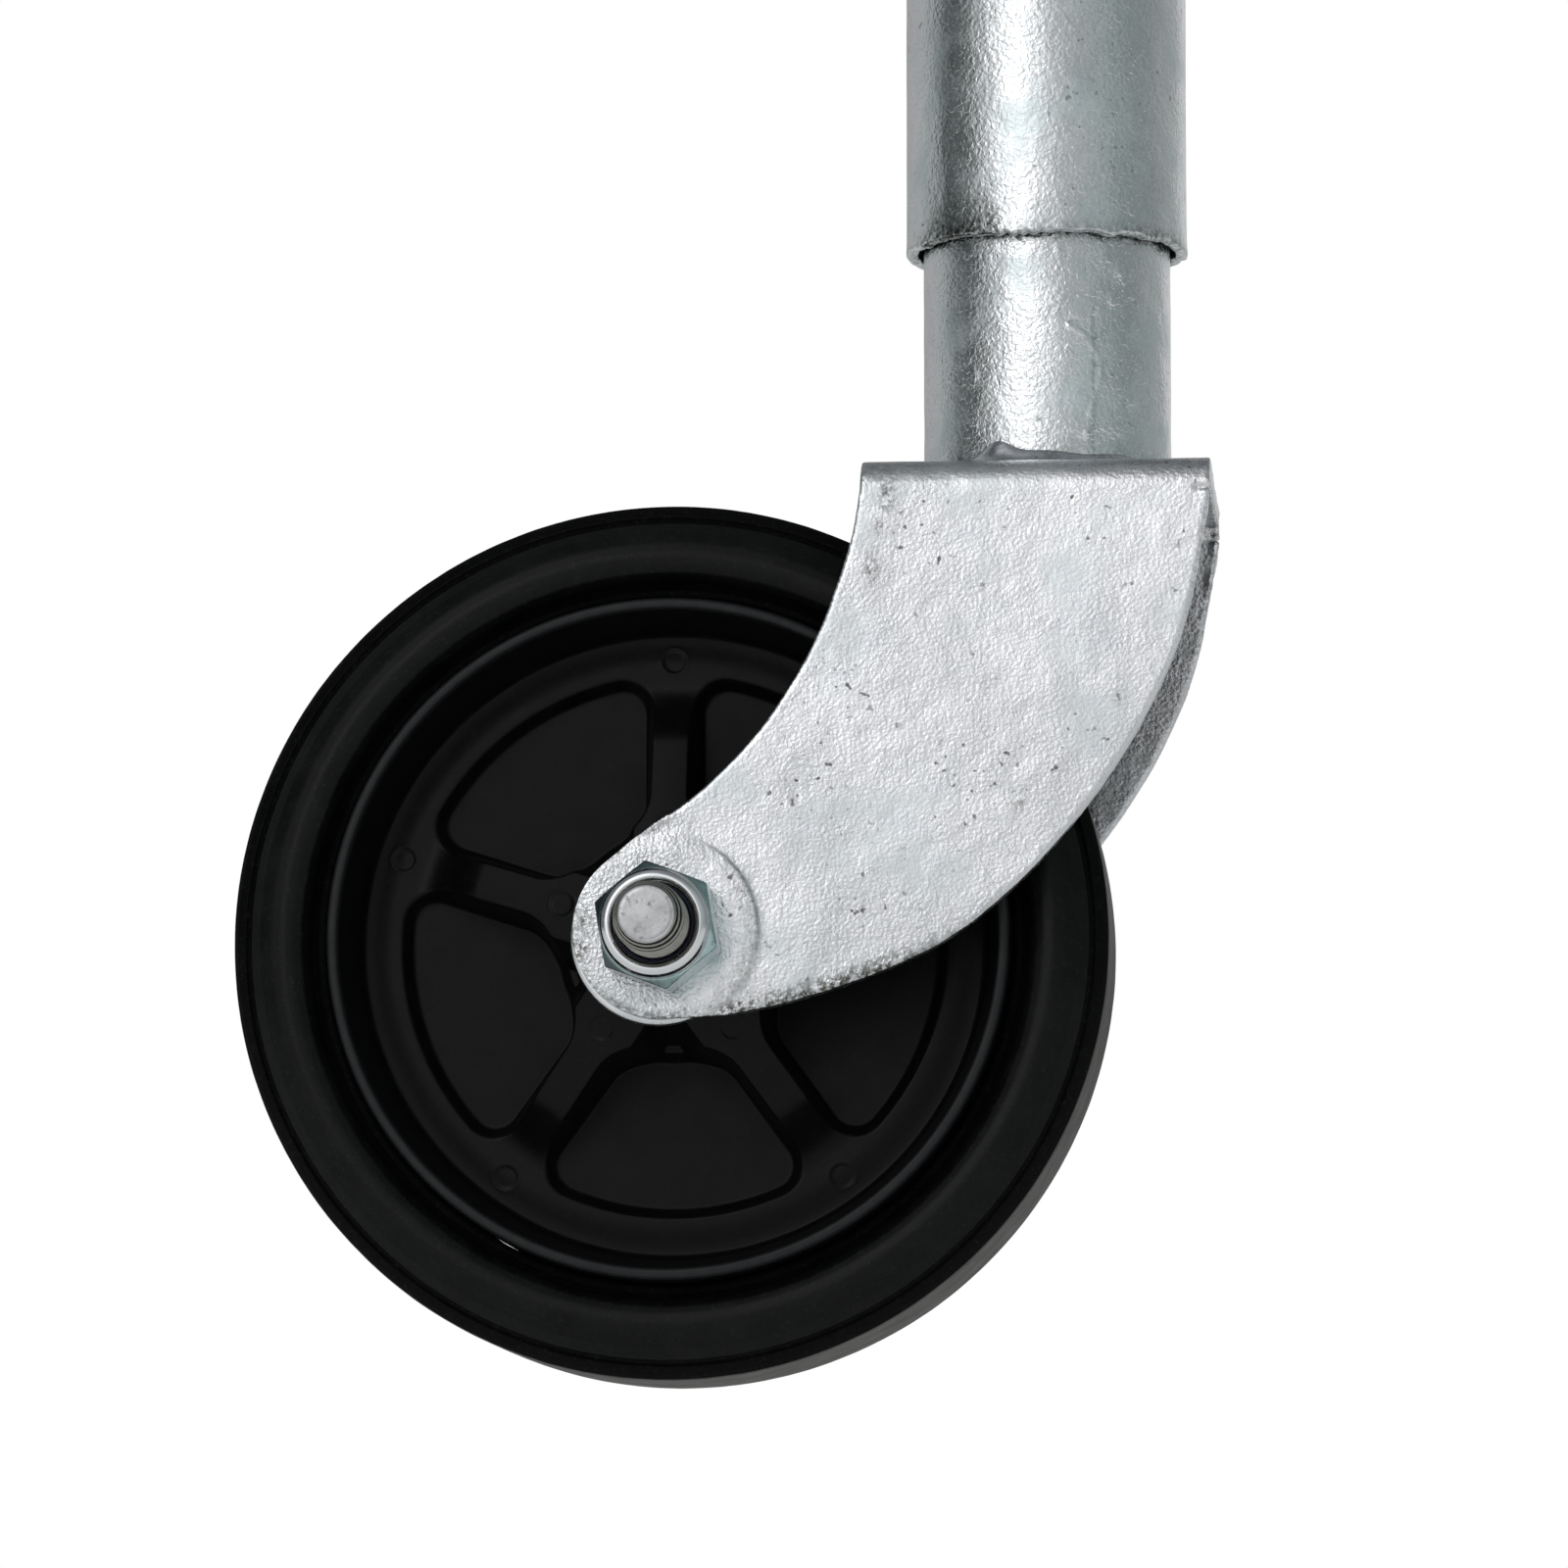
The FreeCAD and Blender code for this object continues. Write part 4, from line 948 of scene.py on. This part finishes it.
# hub bore joins the two sides
bore = np.array([(10.0, y) for y in (-26.0, -11.2)] + [(9.0, -11.0), (9.0, 11.0)] + [(10.0, 11.2), (10.0, 26.0)])[::-1]
Rb = np.repeat(bore[:, :1], NPHI, 1)
Hb = np.repeat(bore[:, 1:], NPHI, 1)
Fb = np.repeat(phi[None], len(bore), 0)
R = np.concatenate([RF_, Rw, RB_[::-1], Rb], 0)
H = np.concatenate([LF_, Hw, LB_[::-1], Hb], 0)
F = np.concatenate([FF_, Fw, FB_[::-1], Fb], 0)
P = np.stack([R * np.cos(F) + AX, H, R * np.sin(F) + AZ], -1)
wheel = new_obj("wheel_moulding", P.reshape(-1, 3), grid_faces(len(P), NPHI, True, True))
bm = bmesh.new()
bm.from_mesh(wheel.data)
bmesh.ops.recalc_face_normals(bm, faces=bm.faces)
bm.to_mesh(wheel.data)
bm.free()
add_attr(wheel, "panel", np.concatenate([PF_, Rw * 0, PB_[::-1], Rb * 0], 0).ravel())
# painted highlight: the lip's rounded edge painted lighter
lip_highlight = smoothstep(55.7, 56.1, Rw) * smoothstep(LIP_HALF - 1.5, LIP_HALF - 0.9, np.abs(Hw))
add_attr(wheel, "lip", np.concatenate([PF_ * 0, lip_highlight, PB_ * 0, Rb * 0], 0).ravel())
place(wheel, "wheel", "wheel_plastic", M["wheel_plastic"], "wheel_rim", *(["wheel_disc"] if "wheel_disc" in NODES else []))

# tyre: solid rubber, rounded side walls, square shoulder bands, flat tread with a faint mould line
half = [(58.35, 0.0), (58.35, 14.3), (58.9, 15.0), (59.9, 15.2), (60.75, 16.4), (61.35, 18.4), (62.2, 19.75), (63.6, 20.5), (65.3, 20.75), (67.4, 20.1), (69.4, 18.8),
        (70.95, 17.35), (71.4, 16.5), (71.95, 16.2), (72.35, 16.45), (73.6, 15.6), (74.35, 14.9), (74.5, 13.8), (74.5, 0.0)]
rad = [0, 0.3, 0.5, 0.5, 0.8, 1.2, 1.5, 3.0, 3.0, 3.0, 2.5, 0.6, 0.3, 0.3, 0.3, 0.7, 0.5, 0.9, 0]
upper = soften(half, rad, step=0.8, closed=False, arc_step=8, support=0.12)
full = np.concatenate([upper, np.stack([upper[::-1, 0], -upper[::-1, 1]], 1)[1:-1]], 0)


def tyre_shape(R, H, F):
    P = np.stack([R * np.cos(F), H, R * np.sin(F)], -1).reshape(-1, 3)
    n = fnoise(P, 16, 2, 81).reshape(R.shape)
    R = R + 0.05 * n * smoothstep(60, 66, R)
    tread = smoothstep(74.2, 74.45, R)
    R = R + 0.07 * np.exp(-((H - 0.3) / 0.22) ** 2) * tread
    R = R - 0.02 * tread * (1 + vnoise(P, 1.4, 82).reshape(R.shape))
    return R, H


tyre = lathe("tyre_rubber", full, 540, "y", AXC, shape=tyre_shape)
tc_ = get_co(tyre.data)
tr_ = np.hypot(tc_[:, 0] - AX, tc_[:, 2] - AZ)
ty_ = np.abs(tc_[:, 1])
# painted shade: the shoulder band darker
add_attr(tyre, "band", smoothstep(71.0, 71.4, tr_) * smoothstep(14.0, 14.7, ty_))
groove = np.exp(-((tr_ - 71.9) / 0.45) ** 2) * smoothstep(14.0, 14.7, ty_)
# painted shade and highlight in the specular: low in the groove by the lip and in the shoulder groove, raised on the
# crown
add_attr(tyre, "sheen", (0.16 + 0.84 * smoothstep(60.6, 62.4, tr_)) * (1 - 0.8 * groove) * (1 - 0.40 * smoothstep(71.2, 72.2, tr_) * smoothstep(14.0, 14.7, ty_)) * (1 + 0.30 * np.exp(-((tr_ - 65.0) / 3.0) ** 2)))
# painted reflection: the tread lighter, as if lit by the floor
add_attr(tyre, "tread", smoothstep(73.9, 74.3, tr_) * (1 - smoothstep(14.0, 14.8, ty_)))
place(tyre, "wheel", "tyre_black", M["tyre_black"], "tyre")

# bushes and sleeve in the hub
for side in (-1, 1):
    lo, hi = sorted((11.2 * side, HUB_HALF * side))
    p = soften([(8.1, lo), (8.1, hi), (9.95, hi), (9.95, lo)], [0.2, 0.3, 0.3, 0.2], step=3, arc_step=25, support=0.1)
    b = lathe("hub_bush_" + ("front" if side < 0 else "back"), p, 128, "y", AXC)
    place(b, "wheel", "bush_plastic", M["bush_plastic"], "hub_bushes")
p = soften([(6.3, -26.5), (6.3, 26.5), (7.98, 26.5), (7.98, -26.5)], 0.25, step=4, arc_step=25, support=0.1)
place(lathe("axle_spacer", p, 128, "y", AXC), "castor", "plain_steel", M["plain_steel"], "axle_sleeve")

# ---------------------------------------------------------------- top cap, crank and grip
p = soften([(8.2, TUBE_TOP - 5.7), (22.0, TUBE_TOP - 5.7), (22.0, TUBE_TOP + 0.02), (23.9, TUBE_TOP + 0.02), (23.9, TUBE_TOP + 2.6), (22.4, TUBE_TOP + 4.0), (13.5, TUBE_TOP + 4.0),
            (12.6, TUBE_TOP + 3.3), (8.2, TUBE_TOP + 3.3)],
           [0.2, 0.3, 0.2, 0.3, 0.8, 1.2, 0.5, 0.4, 0.3], step=1.5, arc_step=14, support=0.12)
place(lathe("pressed_cap", p, 192), "frame", "zinc_cap", M["zinc_cap"], "top_cap")

HUB_Z0, HUB_Z1 = TUBE_TOP + 6.5, TUBE_TOP + 36.5
p = soften([(7.05, HUB_Z0), (11.6, HUB_Z0), (13.0, HUB_Z0 + 1.4), (13.0, HUB_Z1 - 1.6), (11.4, HUB_Z1), (7.05, HUB_Z1)],
           [0.2, 0.4, 0.5, 0.6, 0.6, 0.4], step=1.2, arc_step=14, support=0.12)
hubo = lathe("crank_hub_turned", p, 176)
place(hubo, "crank", "zinc_crank", M["zinc_crank"], "crank_hub")

# arm: bar bent once, its outline eased at the bend, with a small weld collar at the hub
ARM_R, ARM_Z, CR, BEND = 7.0, 222.0, 130.0, 26.0
G0, G1 = 252.0, 352.0
path_pts = []
x0 = 10.0
for x in np.arange(x0, CR - BEND, 2.5):
    path_pts.append((x, ARM_Z, 1, 0))
for a in np.linspace(0, math.pi / 2, 25):
    path_pts.append((CR - BEND + BEND * math.sin(a), ARM_Z + BEND * (1 - math.cos(a)), math.cos(a), math.sin(a)))
stem_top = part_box("crank_arm")[1].z / MM
for z in np.arange(ARM_Z + BEND + 1.5, stem_top - 0.6, 2.5):
    path_pts.append((CR, z, 0, 1))
path_pts.append((CR, stem_top - 0.5, 0, 1))
NA = 96
pa = np.arange(NA) * 2 * math.pi / NA
rings = []


def arm_ring(px, pz, tx, tz, r):
    # across the bar: Y, and the in-plane normal
    nx, nz = -tz, tx
    c, s = np.cos(pa), np.sin(pa)
    return np.stack([px + nx * r * c, r * s, pz + nz * r * c], -1)


for (px, pz, tx, tz) in path_pts:
    rings.append(arm_ring(px, pz, tx, tz, ARM_R))
A = np.array(rings)
flat = A.reshape(-1, 3)
flat = flat + 0  # bar stock keeps its section; the die flattens the outside of the bend a little
bendw = np.exp(-(((flat[:, 0] - (CR - 8)) ** 2 + (flat[:, 2] - (ARM_Z + 8)) ** 2) / 180.0))
ctr = np.array([CR - BEND, 0, ARM_Z + BEND])
away = flat - ctr
away[:, 1] = 0
ln = np.linalg.norm(away, axis=1, keepdims=True)
dirn = away / np.maximum(ln, 1e-6)
flat = flat - dirn * (bendw * 0.35 * smoothstep(BEND - 1, BEND + ARM_R, ln[:, 0]))[:, None]
A = flat.reshape(A.shape)
cap_top = []
for (rr_, dz) in ((6.75, 0.35), (6.4, 0.5), (3.6, 0.5), (3.3, 0.35), (3.1, 0.0), (3.05, -16.0), (0.02, -16.2)):
    cap_top.append(arm_ring(CR, stem_top - 0.5 + dz, 0, 1, rr_))
cap_in = [arm_ring(x0 + 0.5, ARM_Z, 1, 0, 0.02)]
A = np.concatenate([np.array(cap_in), A, np.array(cap_top)], 0)
arm = new_obj("crank_arm_bar", A.reshape(-1, 3), grid_faces(len(A), NA, False, True))
weld(arm, 3e-5)
place(arm, "crank", "zinc_crank", M["zinc_crank"], "crank_arm")
# weld collar where the arm meets its hub
NW = 240
pw = np.arange(NW) * 2 * math.pi / NW
W = []
for t in np.linspace(0, 1, 12):
    a = t * math.pi / 2
    rr_ = ARM_R - 0.1 + 2.2 * (1 - math.sin(a)) + 0.10 * np.cos(pw * 18 - 4 * t)
    out = math.cos(a) * 0 + 2.6 * (1 - math.cos(a)) ** 0.9
    # follow the hub's round face
    y, z = rr_ * np.sin(pw), rr_ * np.cos(pw)
    x = np.sqrt(np.maximum(13.0 ** 2 - y ** 2, 0)) - 0.15 + out
    W.append(np.stack([x, y, ARM_Z + z], -1))
W = np.array(W)
inn = W[0].copy()
inn[:, 0] -= 0.8
inn2 = W[-1].copy()
inn2[:, 1] *= 0.86
inn2[:, 2] = ARM_Z + (inn2[:, 2] - ARM_Z) * 0.86
W = np.concatenate([inn[None], W, inn2[None]], 0)
coll = new_obj("crank_weld", W.reshape(-1, 3), grid_faces(len(W), NW, False, True))
bm = bmesh.new()
bm.from_mesh(coll.data)
bmesh.ops.holes_fill(bm, edges=[e for e in bm.edges if e.is_boundary], sides=0)
bmesh.ops.recalc_face_normals(bm, faces=bm.faces)
for f_ in bm.faces:
    f_.smooth = len(f_.verts) < 8
bm.to_mesh(coll.data)
bm.free()
mark_edges(coll, 5.0, 2)
place(coll, "crank", "galv_weld", M["galv_weld"])

# pin through the hub, its ends peened
p = soften([(0.02, -14.5), (2.3, -14.5), (2.97, -13.9), (2.97, 13.9), (2.3, 14.5), (0.02, 14.5)], [0, 0.4, 0.3, 0.3, 0.4, 0], step=2, closed=False, arc_step=20, support=0.08)
pin = lathe("crank_roll_pin", p, 72, "y", (0, 0, ARM_Z), closed=False)
place(pin, "crank", "pin_steel", M["pin_steel"], "crank_pin")

# grip: waisted moulding with flutes along it, a guard flange and a domed end
GR = ARM_R + 0.3
p = soften([(GR, G0), (15.5, G0), (16.5, G0 + 1.0), (16.5, G0 + 4.0), (13.2, G0 + 8.6), (14.25, G0 + 24), (14.55, G0 + 40), (14.5, G0 + 56), (13.9, G0 + 74),
            (12.75, G1 - 9.0), (13.9, G1 - 5.0), (13.9, G1 - 2.6), (12.0, G1 - 0.1), (GR, G1)],
           [0.3, 0.6, 0.9, 1.2, 2.5, 14, 14, 14, 14, 3, 1.5, 1.2, 1.0, 0.3], step=1.0, arc_step=8, support=0.15)


def grip_shape(R, H, F):
    on = smoothstep(G0 + 9, G0 + 15, H) * (1 - smoothstep(G1 - 16, G1 - 10, H)) * smoothstep(GR + 3, GR + 4.5, R)
    flute = 0.5 - 0.5 * np.cos(F * 16)
    return R - on * 0.75 * flute ** 2.2, H


grip = lathe("handle_grip_fluted", p, 384, "z", (CR, 0, 0), shape=grip_shape)
place(grip, "grip", "grip_plastic", M["grip_plastic"], "handle_grip")

p = soften([(3.2, G1 + 2.0), (11.0, G1 + 2.0), (11.0, G1 + 3.6), (3.2, G1 + 3.6)], [0.2, 0.4, 0.5, 0.2], step=1.2, arc_step=18, support=0.1)
place(lathe("grip_washer_flat", p, 128, "z", (CR, 0, 0)), "crank", "zinc_fastener", M["zinc_fastener"], "grip_washer")

# domed screw with a cross recess
gz = G1 + 3.6
p = soften([(0.02, gz - 17.6), (3.0, gz - 17.6), (3.0, gz), (5.3, gz), (5.3, gz + 0.5), (4.5, gz + 2.2), (2.6, gz + 3.15), (0.02, gz + 3.3)],
           [0, 0.4, 0.1, 0.2, 0.3, 1.2, 1.5, 0], step=0.22, closed=False, arc_step=10, support=0.05)


def screw_shape(R, H, F):
    x, y = R * np.cos(F), R * np.sin(F)
    slot_d = np.minimum(np.maximum(np.abs(x) - 0.55, np.abs(y) - 2.5), np.maximum(np.abs(y) - 0.55, np.abs(x) - 2.5))
    top = smoothstep(gz + 0.8, gz + 1.2, H)
    depth = (1 - smoothstep(-0.25, 0.05, slot_d)) * 1.5 * (1 - np.clip(R / 3.0, 0, 1) ** 2 * 0.6)
    return R, H - top * depth


screw = lathe("grip_screw_cross", p, 240, "z", (CR, 0, 0), closed=False, shape=screw_shape)
place(screw, "crank", "zinc_fastener", M["zinc_fastener"], "grip_screw")

# ---------------------------------------------------------------- camera
cam_data = bpy.data.cameras.new("camera")
cam_data.sensor_fit = "HORIZONTAL"
cam_data.sensor_width = 36.0
cam_data.lens = 181.3
cam_data.clip_start = 0.05
cam_data.clip_end = 200.0
cam = bpy.data.objects.new("camera", cam_data)
bpy.context.scene.collection.objects.link(cam)
cam.location = (0.0603, -1.340, -0.4582)
aim = Vector((-0.04547, 0.0, -0.29116))
cam.rotation_euler = (aim - cam.location).to_track_quat("-Z", "Y").to_euler()
bpy.context.scene.camera = cam

# ---------------------------------------------------------------- floor, world and lights
FLOOR_Z = -0.5865
n = 41
gx = np.linspace(-12000, 12000, n)
X2, Y2_ = np.meshgrid(gx, gx, indexing="ij")
floor = new_obj("floor", np.stack([X2, Y2_, X2 * 0 + FLOOR_Z / MM], -1).reshape(-1, 3), grid_faces(n, n, False, False), smooth=False)
fm = Mat("floor_pale", metallic=0.0)
fm.set("Base Color", fm.ramp(fm.noise(900, 3, 0.5), [(0.3, (0.80, 0.80, 0.80)), (0.7, (0.84, 0.84, 0.84))]))
fm.set("Roughness", fm.rng(fm.noise(60, 3, 0.5), 0.3, 0.7, 0.75, 0.85))
fm.set("Normal", fm.bump(fm.noise(2.0, 2, 0.5), 0.05))
fy = fm.nt.nodes.new("ShaderNodeSeparateXYZ")
fm.link(fm.tc.outputs["Object"], fy.inputs[0])
fm.sh.inputs["Emission Color"].default_value = (1, 1, 1, 1)
fm.set("Emission Strength", fm.rng(fy.outputs[1], -0.45, 0.10, 0.36, 0.28))
floor.data.materials.append(fm.done())

WORLD_GAIN = 1.0
world = bpy.data.worlds.new("studio")
bpy.context.scene.world = world
world.use_nodes = True
nt = world.node_tree
nt.nodes.clear()
w_out = nt.nodes.new("ShaderNodeOutputWorld")
w_tc = nt.nodes.new("ShaderNodeTexCoord")
w_sep = nt.nodes.new("ShaderNodeSeparateXYZ")
nt.links.new(w_tc.outputs["Generated"], w_sep.inputs[0])


def wmath(op, a, b=None, clamp=False):
    m = nt.nodes.new("ShaderNodeMath")
    m.operation = op
    m.use_clamp = clamp
    for i, v in enumerate((a, b)):
        if v is None:
            continue
        if isinstance(v, (int, float)):
            m.inputs[i].default_value = v
        else:
            nt.links.new(v, m.inputs[i])
    return m.outputs[0]


dx, dy, dz = w_sep.outputs[0], w_sep.outputs[1], w_sep.outputs[2]


def wramp(fac, stops):
    r = nt.nodes.new("ShaderNodeValToRGB")
    cr = r.color_ramp
    cr.interpolation = "B_SPLINE"
    while len(cr.elements) < len(stops):
        cr.elements.new(0.5)
    for e, (p_, c_) in zip(cr.elements, stops):
        e.position = p_
        e.color = (c_[0], c_[1], c_[2], 1)
    nt.links.new(fac, r.inputs[0])
    return r.outputs[0]


def wmix(mode, fac, a, b):
    m = nt.nodes.new("ShaderNodeMix")
    m.data_type = "RGBA"
    m.blend_type = mode
    for sock, v in ((m.inputs[0], fac), (m.inputs[6], a), (m.inputs[7], b)):
        if isinstance(v, (int, float)):
            sock.default_value = v
        elif isinstance(v, tuple):
            sock.default_value = (v[0], v[1], v[2], 1)
        else:
            nt.links.new(v, sock)
    return m.outputs[2]


# the room, by compass angle (0 in front, right positive) and by height
AZ_LUM = [(-180, 0.36, 0), (-150, 0.40, 0), (-120, 0.48, 0), (-104, 0.40, 2), (-90, 0.12, 3), (-74, 0.05, 3), (-58, 0.24, 1), (-40, 0.90, 0), (-25, 1.50, 0), (-10, 1.25, 0),
          (6, 0.62, 0), (22, 0.42, 1), (45, 0.47, 2), (70, 0.26, 3), (95, 0.28, 2), (120, 0.42, 1), (150, 0.38, 0), (180, 0.36, 0)]
HUES = [(1.0, 1.0, 1.015), (0.94, 1.0, 1.005), (0.90, 1.0, 1.0), (0.86, 1.0, 1.0)]
az = wmath("ADD", wmath("DIVIDE", wmath("ARCTAN2", dx, wmath("MULTIPLY", dy, -1.0)), 2 * math.pi), 0.5)
col_az = wramp(az, [((a_ + 180) / 360, tuple(l_ / 1.6 * h_ for h_ in HUES[k_])) for a_, l_, k_ in AZ_LUM])
EL_LUM = [(-90, 0.40), (-50, 0.46), (-20, 0.62), (-5, 0.82), (10, 1.08), (22, 1.20), (38, 0.98), (52, 0.60), (68, 0.40), (90, 0.28)]
el = wmath("ADD", wmath("DIVIDE", wmath("ARCSINE", dz), math.pi), 0.5)
col_el = wramp(el, [((e_ + 90) / 180, (l_ / 1.2,) * 3) for e_, l_ in EL_LUM])
room = wmix("MULTIPLY", 1.0, col_az, col_el)
pole = wmath("POWER", wmath("ABSOLUTE", dz), 5.0)
room = wmix("MIX", pole, room, (0.115, 0.122, 0.128))
bg_light = nt.nodes.new("ShaderNodeBackground")
nt.links.new(room, bg_light.inputs[0])
bg_light.inputs[1].default_value = 1.92 * WORLD_GAIN
bg_white = nt.nodes.new("ShaderNodeBackground")
bg_white.inputs[0].default_value = (1, 1, 1, 1)
bg_white.inputs[1].default_value = 1.0
lp = nt.nodes.new("ShaderNodeLightPath")
mx = nt.nodes.new("ShaderNodeMixShader")
nt.links.new(lp.outputs["Is Camera Ray"], mx.inputs[0])
nt.links.new(bg_light.outputs[0], mx.inputs[1])
nt.links.new(bg_white.outputs[0], mx.inputs[2])
nt.links.new(mx.outputs[0], w_out.inputs[0])

FOCUS = Vector((-0.03, 0, -0.28))


def softbox(name, azimuth, elevation, distance, size_x, size_y, power, color=(1, 1, 1)):
    """Azimuth 0 is the camera's side (-Y); positive turns towards +X."""
    a, e = math.radians(azimuth), math.radians(elevation)
    d = Vector((math.sin(a) * math.cos(e), -math.cos(a) * math.cos(e), math.sin(e)))
    ld = bpy.data.lights.new(name, "AREA")
    ld.shape = "RECTANGLE"
    ld.size, ld.size_y = size_x, size_y
    ld.energy = power
    ld.color = color
    lo = bpy.data.objects.new(name, ld)
    bpy.context.scene.collection.objects.link(lo)
    lo.location = FOCUS + d * distance
    lo.rotation_euler = (-d).to_track_quat("-Z", "Y").to_euler()
    return lo


softbox("key", -22, 26, 1.9, 0.5, 1.2, 2.2, (1.0, 0.995, 0.99))
softbox("rim", 160, 20, 2.2, 1.4, 1.2, 1.6, (1.0, 1.0, 1.0))

vs = bpy.context.scene.view_settings
vs.view_transform = "Standard"
vs.look = "None"
vs.exposure = 0.0
vs.gamma = 1.0
